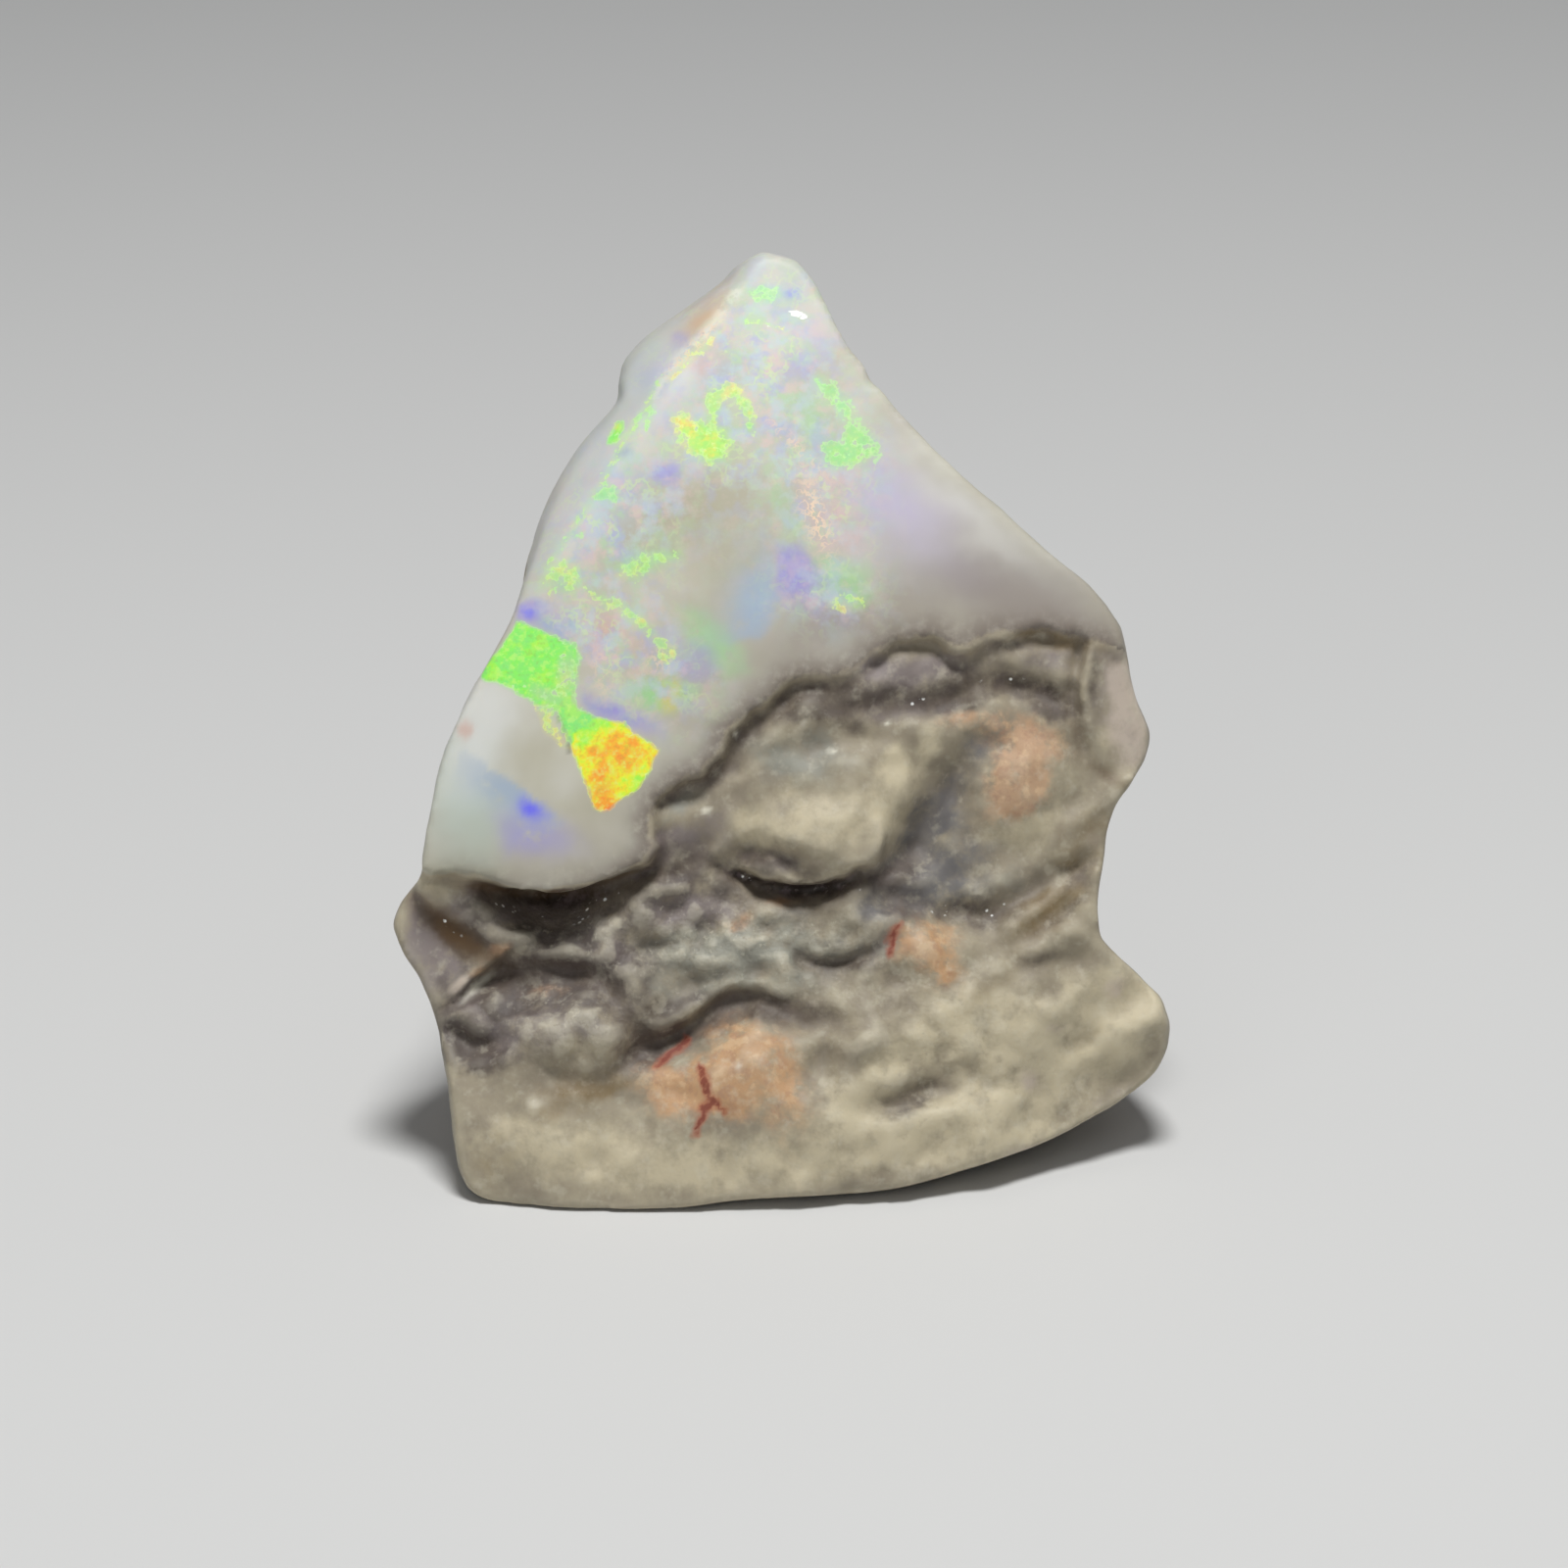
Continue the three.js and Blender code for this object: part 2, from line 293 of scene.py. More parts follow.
# %% Spot heights of the front
SPOTS = np.array([
    [-7, 8.9, -1.0], [-4.3, 9.2, -0.9], [-2.2, 12, -1.3], [0.9, 14.6, -1.9], [4.2, 15.8, -2.4],
    [8, 15.9, -3.0], [1.5, 14, -2.0], [3.5, 13.8, -2.2], [0, 12.8, -1.6], [1.7, 12.1, -1.4],
    [3.2, 12, -1.8], [0.7, 10.2, -1.1], [2.2, 10.4, -1.3], [-1.2, 11.2, -1.6], [-1.8, 12.4, -1.5],
    [4.6, 12.8, -2.8], [4.4, 11, -2.8], [3.8, 9.6, -2.5], [6.7, 13.4, -2.9], [6.7, 12.2, -2.6],
    [5.6, 10.4, -2.8], [7.4, 10.6, -2.9], [8.6, 12.2, -3.3], [8.4, 10.3, -3.4], [8.6, 9, -3.4],
    [6, 8, -2.3], [7.6, 8, -2.8], [4.2, 8, -2.0], [-1, 8.6, -2.2], [1, 8.2, -2.1],
    [-3.5, 8.4, -1.9], [-6, 8, -1.9], [-7.6, 8, -2.0], [-1, 7.3, -1.8], [1.5, 6.7, -1.7],
    [-3, 6.6, -1.6], [3.4, 7.2, -1.6], [-9.3, 8.9, -1.5], [-8.6, 8.5, -1.7], [-10.3, 8, -2.3],
    [-9.8, 7.3, -2.0], [-9, 6.8, -1.8], [-8.4, 6.2, -2.0], [-9, 5.4, -1.8], [-7.8, 6.6, -1.9],
    [-6.5, 6.6, -1.4], [-6.2, 5.4, -0.9], [-5, 5.6, -0.9], [-7.4, 5, -1.2], [-4.6, 4.8, -1.1],
    [-8.8, 4.2, -1.2], [-6, 3.4, -0.9], [-3.7, 4.2, -0.9], [-2.4, 4.6, -0.7], [-1, 5.2, -0.7],
    [0.2, 5.4, -0.8], [-1.5, 3, -0.4], [2, 4.6, -0.8], [3.5, 5.5, -1.2], [5.5, 4.4, -1.3],
    [7, 5.5, -2.0], [8.6, 6.4, -2.9], [9.7, 5.4, -3.2], [10.4, 4.8, -3.8], [-8.6, 2.2, -0.9],
    [-8.4, 0.6, -0.7], [-6, 1.6, -0.3], [-2.7, 1.3, -0.1], [0, 1.6, -0.2], [2.8, 1.8, -0.6],
    [5.2, 2.2, -1.3], [7.8, 3, -2.6], [9.6, 3.9, -3.6],
])
SPOT_SPREAD = 1.0


def through_spots(uv):
    total = np.zeros(len(uv))
    weight = np.zeros(len(uv))
    for u, v, height in SPOTS:
        near = np.exp(-((uv[:, 0] - u) ** 2 + (uv[:, 1] - v) ** 2) / (2 * SPOT_SPREAD**2)) + 1e-9
        total += near * height
        weight += near
    return total / weight


print("spots", len(SPOTS), "height in the middle", through_spots(np.array([[0.0, 8.0]])).round(2))

# %% [markdown]
# ## Mounds and hollows
# Between the levels the potch swells and sinks in forms a millimetre or two long: knobs in the middle
# band, folds that run up to the right edge, a lobe on each side. Each is one soft spot added to the
# height, with a middle, a height (negative for a hollow), a length, a width and a turn.

# %% Mounds and hollows on the left and in the middle
MOUNDS = {
    "hollow under the brow": [
        [-6.5, 8.6, -0.3, 1.6, 0.4, -5], [-8.5, 8.4, 0.08, 0.6, 0.35, -20],
        [-7.6, 7.85, 0.2, 0.5, 0.25, -10], [-6.2, 7.65, -0.22, 0.8, 0.3, 3],
        [-5.3, 8.1, 0.12, 0.35, 0.3, 0], [-6.9, 8.15, 0.1, 0.2, 0.15, 0], [-6.1, 8.3, 0.1, 0.18, 0.14, 30]],
    "left lobe": [
        [-5.9, 5.3, 0.55, 1.5, 0.75, 12], [-4.7, 5, 0.3, 0.6, 0.45, -20], [-7.3, 5, 0.2, 0.5, 0.4, 40]],
    "notch beside the brow": [[-3.1, 10.4, -0.15, 0.5, 0.4, 45], [-2.8, 10.9, 0.12, 0.3, 0.25, 30]],
    "hook by the left edge": [[-9.2, 4.95, -0.4, 0.5, 0.25, -35], [-8.5, 4.7, -0.5, 0.8, 0.3, 12]],
    "swell over the hook": [[-8.7, 5.7, 0.3, 0.7, 0.35, 30]],
    "knobs": [
        [-3.9, 8.35, 0.28, 0.3, 0.25, 0], [-3.4, 7.85, 0.25, 0.3, 0.25, 0],
        [-4.9, 7.5, 0.25, 0.28, 0.22, 0], [-3, 9.1, 0.25, 0.35, 0.25, 0],
        [-2.4, 8.6, 0.25, 0.3, 0.3, 0], [-1.6, 8.1, 0.28, 0.35, 0.3, 0],
        [-0.9, 7.7, 0.22, 0.3, 0.25, 0], [0.1, 7, 0.2, 0.4, 0.3, 0], [-4.3, 6.9, 0.2, 0.3, 0.25, 0],
        [-2.1, 7, 0.25, 0.4, 0.3, 0], [-6.9, 3.15, 0.2, 0.25, 0.2, 0], [-2.9, 7.3, 0.2, 0.35, 0.25, 30]],
    "middle band": [[-0.6, 7.4, 0.35, 2.6, 0.55, -8], [2.6, 8.2, 0.3, 0.8, 0.5, 0]],
    "plateau lip": [[1, 10.8, 0.35, 1, 0.6, 10], [2.3, 10.6, 0.3, 0.8, 0.8, 0]],
    "plateau top": [[0.6, 13.1, -0.25, 2.2, 0.5, 15]],
}
print("mounds so far", sum(len(mounds) for mounds in MOUNDS.values()))

# %% Mounds and hollows on the right and along the foot
MOUNDS.update({
    "slate hollow": [[5.3, 12.8, -0.25, 1, 0.45, 60], [4.2, 11.1, -0.3, 1.2, 0.5, 52]],
    "peach swells": [
        [6.9, 12.1, 0.35, 1.3, 0.8, 60], [5.7, 13.7, 0.15, 0.7, 0.3, 10], [-0.8, 4, 0.4, 1.5, 1, 0],
        [4.1, 7.5, 0.3, 0.9, 0.6, -20]],
    "folds by the right edge": [
        [7.8, 10.2, 0.22, 1.6, 0.35, 32], [8.3, 9.1, 0.2, 1.3, 0.35, 36],
        [6.9, 8.5, 0.2, 1.3, 0.35, 38], [7.8, 7.7, 0.22, 1.5, 0.4, 30],
        [8.3, 9.65, -0.15, 1.2, 0.25, 34], [7.7, 8.55, -0.15, 1.3, 0.25, 36],
        [8.3, 7.1, -0.2, 0.9, 0.3, 25], [8.9, 11.4, 0.2, 1, 0.4, 40], [8.6, 10.8, -0.15, 1, 0.25, 36]],
    "right lobe": [
        [9.9, 5, 0.5, 1.7, 0.6, 32], [9.7, 3.7, -0.1, 1.3, 0.4, 32], [8, 5.9, 0.25, 1, 0.4, 35]],
    "low hollows": [
        [-4.2, 4.3, -0.2, 0.5, 0.35, 30], [3.8, 3.35, -0.4, 1.6, 0.4, 15],
        [7.2, 7.05, -0.2, 0.6, 0.2, 20], [1.2, 4.2, -0.2, 0.45, 1.1, 0],
        [5.9, 3.4, -0.2, 0.8, 0.35, 30]],
    "low swells": [
        [4.6, 2.8, 0.25, 1.5, 0.45, 15], [-6.8, 2.2, 0.2, 1.5, 0.7, 0], [2.4, 4.9, 0.25, 1, 0.5, 20]],
})
print("all mounds", sum(len(mounds) for mounds in MOUNDS.values()))

# %% [markdown]
# ## Clean chips
# Where a flake came off in one blow it left a flat, smooth face, as at both sides of this stone. A
# plane cut with a boolean would do it, but its rim would be a knife edge. Here each chip is a plane (a
# point on it and its slope across and up) laid over the rough height inside an outline, with a narrow
# soft rim.

# %% Facets
FACETS = {
    "chip": dict(at=[-9.8, 7.3, -2.05], slope=[0.08, -0.15], outline=[
        [-11.4, 9.4], [-10.4, 9.2], [-9.7, 8.4], [-9.2, 8.1], [-8.6, 7.8], [-8, 7.3], [-8.4, 6.8],
        [-8.9, 6.3], [-9.3, 5.9], [-10.2, 5.6], [-11.6, 7.4]]),
    "side chip": dict(at=[9.5, 14.2, -3.35], slope=[-0.55, 0.05], outline=[
        [8.7, 16.2], [9.2, 16.5], [10.2, 16.6], [11.2, 13.6], [10.6, 12.6], [9.6, 12.3], [9.1, 12.5],
        [8.9, 12.9], [8.6, 13.7], [8.5, 14.4], [8.5, 15.2]]),
    "flat on the plateau": dict(at=[2.3, 10.4, -1.15], slope=[-0.05, -0.18], outline=[
        [1.6, 10.6], [2, 11.1], [2.8, 11.2], [2.9, 10.6], [2.8, 10.1], [2.4, 9.8], [1.9, 9.7],
        [1.6, 9.9]]),
}
FACET_EDGE = 0.1
print("chips", list(FACETS))

# %% [markdown]
# ## Ledges
# A ledge is what the eye reads first, so each is drawn as a line from left to right, and at every point
# the line says how far the surface drops there. The lip is how soft the edge is (a shallow drop makes
# it softer still), the climb is how steeply the surface comes forward again below, and dark is how much
# bare potch shows in the groove. The brow is the long one, where the opal ends. Its two halves share
# one short stretch.

# %% The brow
LEDGES = {
    "brow": dict(lip=0.2, climb=1, dark=0.85, line=[
        [-9.2, 9.5, 0], [-8.5, 9.4, 0.4], [-7.8, 9.2, 0.95], [-7.1, 9.1, 1.4], [-6.4, 9.1, 1.6],
        [-5.7, 9.2, 1.4], [-5, 9.4, 1.1], [-4.4, 9.65, 0.9], [-3.8, 9.9, 0.6], [-3.5, 10.4, 0.4],
        [-3.55, 11.1, 0]]),
    "right brow": dict(lip=0.28, climb=0.5, dark=0.55, line=[
        [-3.5, 10.4, 0], [-3.6, 11.1, 0.1], [-3.45, 11.6, 0.2], [-2.9, 12.05, 0.35], [-2.2, 12.3, 0.35],
        [-1.75, 12.8, 0.4], [-1.5, 13.4, 0.42], [-0.9, 13.95, 0.4], [-0.3, 14.45, 0.4],
        [0.2, 14.9, 0.4], [0.8, 15.1, 0.35], [1.5, 15, 0.28], [2.2, 15.3, 0.25], [2.8, 15.8, 0.25],
        [3.3, 16.1, 0.25], [4.2, 16.2, 0.25], [4.9, 15.8, 0.35], [5.3, 15.8, 0.35], [5.7, 16.05, 0.3],
        [6.2, 16.25, 0.25], [7.3, 16.35, 0.25], [8.5, 16.1, 0.2], [9.1, 16, 0.1]]),
}
WHOLE_BROW = dict(lip=0.2, line=LEDGES["brow"]["line"][:-1] + LEDGES["right brow"]["line"][1:])
print("steps in the brow", len(WHOLE_BROW["line"]))

# %% Ledges of the plateau
LEDGES.update({
    "notch": dict(lip=0.2, climb=0.6, dark=0.5, line=[
        [-4, 9.7, 0.1], [-3.3, 9.7, 0.35], [-2.7, 10.1, 0.35], [-2.4, 10.6, 0.3], [-2, 11.1, 0.1]]),
    "shelf": dict(lip=0.26, climb=0.6, dark=0.8, line=[
        [1.4, 14.4, 0.2], [2.5, 14.4, 0.3], [3.4, 14.5, 0.35], [4.1, 14.5, 0.4], [4.6, 14.7, 0.45],
        [5.2, 15.1, 0.5], [6.2, 15.3, 0.5], [7, 15.1, 0.5], [7.7, 14.8, 0.55], [8.4, 14.4, 0.35]]),
    "plateau": dict(lip=0.18, climb=1, dark=0.6, line=[
        [-1.9, 10, 0.1], [-1.3, 10.2, 0.4], [-0.6, 10.45, 0.5], [0, 10.3, 0.5], [0.5, 9.95, 0.4],
        [0.9, 9.6, 0.3]]),
    "plateau foot": dict(lip=0.14, climb=1.3, dark=0.9, line=[
        [-1.9, 9.9, 0.3], [-1.3, 9.75, 0.6], [-0.4, 9.4, 0.8], [0.3, 9.25, 1], [0.9, 9.25, 1],
        [1.5, 9.4, 0.8], [2.1, 9.65, 0.6], [2.8, 9.8, 0.5], [3.3, 10, 0.35], [3.8, 10.4, 0.2]]),
    "plateau side": dict(lip=0.4, climb=0.35, dark=0.15, line=[
        [2.9, 9.8, 0.2], [3.3, 10.3, 0.45], [3.7, 11, 0.5], [4.2, 11.8, 0.45], [4.7, 12.6, 0.35],
        [5, 13.3, 0.15]]),
    "right step": dict(lip=0.2, climb=0.5, dark=0.5, line=[
        [3, 9.2, 0.3], [3.8, 8.9, 0.4], [4.6, 8.7, 0.5], [5.6, 8.65, 0.55], [6.4, 8.95, 0.45],
        [7.3, 9.4, 0.3]]),
})
print("ledges so far", len(LEDGES))

# %% Lower ledges and the edges of chips
LEDGES.update({
    "dash": dict(lip=0.1, climb=0.7, dark=0.6, line=[
        [0.4, 7.5, 0.3], [1.1, 7.25, 0.5], [1.8, 7.25, 0.5], [2.5, 7.5, 0.3]]),
    "crack": dict(lip=0.06, climb=1.2, dark=0.5, line=[
        [-10.4, 9.2, 0], [-10.1, 8.8, 0.15], [-9.7, 8.4, 0.3], [-9.2, 8.1, 0.45], [-8.6, 7.8, 0.5],
        [-8.1, 7.5, 0.5], [-7.9, 7.3, 0.3]]),
    "chip edge": dict(lip=0.08, climb=0.7, dark=0.5, line=[
        [-9.3, 6, 0.4], [-8.8, 6.3, 0.6], [-8.4, 6.8, 0.6], [-7.9, 7.3, 0.5]]),
    "left step": dict(lip=0.24, climb=0.45, dark=0.75, line=[
        [-8.3, 6.7, 0.4], [-7.8, 7.05, 0.6], [-7.2, 7.15, 0.7], [-6.4, 7.15, 0.7], [-5.6, 7.1, 0.7],
        [-5, 6.8, 0.6], [-4.5, 6.3, 0.5], [-4.1, 5.6, 0.4], [-3.9, 5.2, 0.2]]),
    "lobe foot": dict(lip=0.15, climb=0.6, dark=0.4, line=[
        [-7.2, 4.5, 0.1], [-6.4, 4.1, 0.2], [-5.5, 3.95, 0.25], [-4.6, 4.2, 0.2], [-3.9, 4.6, 0.1]]),
    "low step": dict(lip=0.2, climb=0.5, dark=0.65, line=[
        [-4.5, 4.8, 0.3], [-3.8, 5.05, 0.6], [-3, 5.25, 0.8], [-2.4, 5.55, 0.8], [-1.8, 6.05, 0.8],
        [-1.2, 6.3, 0.75], [-0.6, 6.25, 0.7], [0.1, 6, 0.6], [0.9, 5.75, 0.4], [1.7, 5.5, 0.25],
        [2.5, 5.3, 0.1]]),
    "side chip edge": dict(lip=0.12, climb=0.8, dark=0.35, line=[
        [9, 16.7, 0.2], [8.8, 16.1, 0.35], [8.6, 15.4, 0.45], [8.5, 14.7, 0.45], [8.5, 14, 0.3],
        [8.6, 13.4, 0.1]]),
})
print("all ledges", list(LEDGES))

# %% Below a ledge
END_FADE = 0.5


def below_ledge(uv, ledge):
    """Signed distance below a ledge line, the drop there (fading past both ends), and the way up."""
    distance, side, depth, along, left, length = nearest_on_line(uv, ledge["line"])
    ends = np.asarray(ledge["line"], float)[[0, -1], :2]
    to_an_end = np.min([np.hypot(*(uv - end).T) for end in ends], axis=0)
    past_end = np.where((along <= 0) | (along >= length), to_an_end, 0)
    return distance * side, depth * np.exp(-((past_end / END_FADE) ** 2)), left


below, drop, _ = below_ledge(np.array([[-6.4, 8.6]]), LEDGES["brow"])
print("half a millimetre below the brow:", below.round(2), "drop", drop.round(2))

# %% [markdown]
# ## The ground face
# The cutter held the stone to a wheel and took off the skin, so the opal face is gently crowned, and on
# the left it folds back along a second, flatter grind. A formula suits it: a shallow dome, and a second
# slope that starts at a fold line. Keeping the lower of the two, with a soft join, gives the fold.

# %% Ground face
STAND_OUT = 1.3
SLOPE_RIGHT, SLOPE_UP = 0.02, 0.2
DOME_CURVE = 0.008
DOME_U, DOME_V = -1, 14
FOLD_TOP, FOLD_FOOT = np.array([[-1.2, 26.6], [-7.1, 17.4]])
BEVEL_SLOPE = 0.8
FOLD_WIDTH = 0.18


def ground_height(uv):
    """The ground face: gently crowned, and folded back along a bevel on its left."""
    u, v = uv.T
    dome = DOME_CURVE * ((u - DOME_U) ** 2 + (v - DOME_V) ** 2)
    face = STAND_OUT - SLOPE_RIGHT * u - SLOPE_UP * v - dome
    across = np.array([FOLD_TOP[1] - FOLD_FOOT[1], FOLD_FOOT[0] - FOLD_TOP[0]])
    right_of_fold = (uv - FOLD_TOP) @ (across / np.hypot(*across))
    return soft_min(face, face + BEVEL_SLOPE * right_of_fold, FOLD_WIDTH)


print("the ground face runs from", ground_height(np.array([[0.0, 26.0], [0.0, 15.0]])).round(2))

# %% [markdown]
# ## Put the front together
# The height of the potch is the spot heights, plus the mounds, less every drop. Under a ledge the
# surface stays back for a little and then climbs forward again. Clean chips are laid over that, and
# last comes the crumble: large lumps everywhere, and round grains where the potch broke sugary.

# %% Mounds and drops together
LEAST_REACH = 0.15  # mm of groove under the smallest drop


def softness(ledge, depth):
    """How wide the edge of a ledge is. Deep drops break with a sharper edge."""
    return ledge["lip"] / np.clip(depth, 0.4, 2)


def recovery(below, depth, climb):
    """How much of a drop is left at a distance below the ledge: all of it in the groove, then none."""
    reach = LEAST_REACH + depth / climb
    return 1 - smooth_step(0.15 * reach, reach, below)


def broken_height(uv):
    """The potch as it broke: spot heights, mounds and ledges."""
    height = through_spots(uv)
    for mounds in MOUNDS.values():
        height = add_bumps(height, uv, mounds)
    for ledge in LEDGES.values():
        below, depth, _ = below_ledge(uv, ledge)
        lip = softness(ledge, depth)
        height -= depth * smooth_step(-lip, lip, below) * recovery(below, depth, ledge["climb"])
    return height


print("broken front under the brow", broken_height(np.array([[-6.4, 8.6], [-6.4, 7.6]])).round(2))


# %% Clean chips and crumble
def on_facets(uv, height):
    """Lays the clean chips over the rough height, and says where they are."""
    clean = np.zeros(len(uv))
    for facet in FACETS.values():
        mask = smooth_step(-FACET_EDGE, FACET_EDGE, inside(uv, facet["outline"]))
        u, v, w = facet["at"]
        plane = w + (uv - [u, v]) @ facet["slope"]
        height = height + mask * (plane - height)
        clean = np.maximum(clean, mask)
    return height, clean


def graininess(uv):
    """1 where the potch broke into grains, 0 where it broke smooth and waxy."""
    middle = dab(uv, -1.5, 7.9, 4.0, 1.4, -3)
    left_lobe = dab(uv, -5.9, 5.4, 1.8, 1.1)
    under_brow = dab(uv, -6.3, 8.1, 2.0, 0.8, -5)
    low_right = dab(uv, 4.0, 5.0, 4.0, 2.5)
    return np.clip(middle + left_lobe + under_brow + 0.4 * low_right, 0, 1)


BIG_LUMP, MIDDLING_LUMP, GRAIN = 2.4, 0.8, 0.5  # mm


def crumble(points, uv):
    """Crumbly relief: big and middling lumps everywhere, round grains in the middle band."""
    grainy = graininess(uv)
    calm = dab(uv, -8.0, 2.0, 2.5, 2.0)
    relief = 0.26 * lumps(points, BIG_LUMP, 1) + (0.1 + 0.14 * grainy) * lumps(points, MIDDLING_LUMP, 2, 4)
    return relief * (1 - 0.6 * calm) + (0.1 + grainy) * 0.16 * (grains(points, GRAIN, 3) - 0.3)


print("grainy in the middle:", graininess(np.array([[-1.5, 7.9]])).round(2))

# %% [markdown]
# ## Undercuts
# A height can only say how far out the surface is, so on its own it can't lean over. To get the shadow
# of a real overhang, the deeper lips are pulled down the face over their grooves, and the grooves are
# pushed up behind them. It is a small sideways move across each line.

# %% Undercut the ledges
FURTHEST_MOVE = 0.6
SHALLOWEST, DEEP = 0.5, 1.4  # drops under the first aren't undercut, and over the second are in full


def undercut(face):
    """Pulls every lip down over its groove and pushes the groove up behind its lip."""
    moved = face.copy()
    for ledge in LEDGES.values():
        below, depth, left = below_ledge(face[:, :2], ledge)
        lip = softness(ledge, depth)
        in_groove = smooth_step(-1.5 * lip, 1.5 * lip, below)
        near = np.exp(-((below / np.where(below < 0, 0.35, 0.5)) ** 2))
        reach = np.minimum(0.5 * depth, FURTHEST_MOVE) * smooth_step(SHALLOWEST, DEEP, depth)
        amount = reach * (in_groove - 0.5) * near
        moved[:, :2] += amount[:, None] * left
    return moved


lip_point = np.array([[-6.4, 9.12, -1.0]])
print("a lip moves by", (undercut(lip_point) - lip_point).round(2), "mm")

# %% [markdown]
# ## Chip the sides and the back
# Nobody grinds the sides and back of a rub, so they keep the faces they broke with: shallow bowls that
# meet in ridges. A cell noise gives just that when its distance is squared, large bowls first and
# smaller ones over them. The foot stays flat, because the stone stands on it. A few nicks along the
# outline are placed one by one, as the mounds are. The first is the rounded top, which stands proud.

# %% Chips round the sides and back
NICKS = [
    [-0.3, 27.0, 0.2, 1.0, 0.6, 0], [2.55, 23.6, -0.16, 0.3, 0.14, -50], [2.25, 24.0, 0.08, 0.3, 0.15, -50],
    [1.85, 24.5, -0.1, 0.15, 0.12, 0], [4.1, 21.6, -0.12, 0.25, 0.15, -40],
    [-1.45, 26.45, -0.14, 0.2, 0.14, 40], [-4.75, 23.2, -0.14, 0.3, 0.3, 60],
    [8.9, 16.9, -0.15, 0.35, 0.2, -30], [-9.9, 9.7, -0.12, 0.3, 0.25, 60],
]
front = smooth_step(0.05, 0.4, broad_normals[:, 2])  # 1 where the skin faces the carver
standing = smooth_step(0.2, 1.5, points[:, 2])  # 0 at the flat foot
reach = 0.45 + 0.55 * smooth_step(0, 0.6, -broad_normals[:, 2])  # 1 at the back, less at the sides
large_bowls, small_bowls = scoops(points, 5.0, 5), scoops(points, 1.9, 6)
chips = 0.55 * large_bowls + 0.2 * small_bowls + 0.12 * lumps(points, 0.9, 7)
DEEPEST_CHIP, PROUDEST_RIDGE = -0.5, 0.22
chips = np.clip(chips, DEEPEST_CHIP, PROUDEST_RIDGE) * (1 - front) * standing * reach
chips = add_bumps(chips, to_face(points)[:, :2], NICKS)
points = points + chips[:, None] * get_normals(stone.data)
print("chips from", round(float(chips.min()), 2), "to", round(float(chips.max()), 2), "mm")

# %% [markdown]
# ## Carve the front
# Now the skin is moved to the height worked out above. Where the potch would rise above the ground
# face, the grinding has taken it off, so the lower of the two is kept. The places are looked up a
# little off their true spot, by a wandering amount, so that no drawn line stays straight.

# %% Carve the front
face = to_face(points)
uv = face[:, :2]
wander = 0.17 * wandering(points, 0.9, 11, octaves=4)
broken, clean = on_facets(uv + 0.3 * wander, broken_height(uv + wander))
broken += (1 - clean) * crumble(points, uv)
above_brow = 1 - smooth_step(-0.1, 0.1, below_ledge(uv + wander, WHOLE_BROW)[0])
ground = ground_height(uv)
target = above_brow * ground + (1 - above_brow) * soft_min(broken, ground, 0.08)
lift = front * (target - face[:, 2])
face[:, 2] += lift
face += front[:, None] * (undercut(face) - face)
set_points(stone.data, from_face(face))
print("front moved by up to", round(float(np.abs(lift).max()), 2), "mm")

# %% [markdown]
# ## A second skin
# Carving has stretched the small squares, and under the lips they are long and thin. A second remesh
# makes them even again, so that fine colour and shading sit well everywhere. It is the last mesh, and
# its squares are as small as keeps the stone under two hundred thousand triangles.

# %% Second skin
VOXEL = 0.14
remesh(stone, VOXEL)
web = edge_web(stone.data)
points = relax(soften(get_points(stone.data), web, 1), web, 0.4, 1)
points[:, 2] = np.maximum(points[:, 2], 0)
set_points(stone.data, points)
print("carved", len(points), "vertices")

# %% [markdown]
# ## Where the colours lie
# Stains, flashes and the edges of patches are decided on the skin itself, vertex by vertex, and the
# shader mixes the finishes later. The numbers are kept as named attributes of the mesh. Places are
# looked up a little off, by a wandering amount, so that no spot keeps a tidy oval edge. A vertex that
# lies below the average of its surroundings is in a pit, where dirt and shadow gather.

# %% Places on the carved skin
normals = get_normals(stone.data)
face = to_face(points)
facing = (normals @ TURN)[:, 2]
on_front = smooth_step(-0.05, 0.3, facing)
wander = 0.3 * wandering(points, 1.6, 21)
fine_wander = 0.09 * wandering(points, 0.45, 23)
uv = face[:, :2]
soft_uv = uv + wander + fine_wander
near_uv = uv + 0.4 * wander + fine_wander
print("soft places wander by up to", round(float(np.abs(soft_uv - uv).max()), 2), "mm")

# %% Opal cap and pits
brow_below, brow_depth, _ = below_ledge(uv + 0.4 * wander, WHOLE_BROW)
brow_lip = softness(WHOLE_BROW, brow_depth)
sunk = ground_height(uv) - face[:, 2]
CAP = 1.5  # mm of opal over the potch, as the sides show it
THIN_CAP = 0.5  # mm of opal near the brow
BROAD_PIT, GRAIN_PIT = 60, 5  # rounds of smoothing that a pit is measured against
cap = CAP + 2 * wander[:, 0]
high_up = smooth_step(16.5, 18.5, uv[:, 1])
seam = np.where(on_front > 0.5, THIN_CAP + (cap - THIN_CAP) * high_up, cap)
above_brow = 1 - smooth_step(-brow_lip, 0.5 * brow_lip, brow_below)
ground = (1 - smooth_step(seam - 0.3, seam + 0.3, sunk)) * above_brow
pit = np.sum((relax(points, web, 0.5, BROAD_PIT) - points) * normals, axis=1)
grain_pit = np.sum((relax(points, web, 0.5, GRAIN_PIT) - points) * normals, axis=1)
print("ground share", round(float(ground.mean()), 2), "pits", np.percentile(pit, [5, 50, 95]).round(3))


# %% Keep the places as attributes
def store(name, values):
    """Keeps one number for each vertex under a name, for the shader to read."""
    stone.data.attributes.new(name, "FLOAT", "POINT").data.foreach_set("value", values.astype(np.float32))


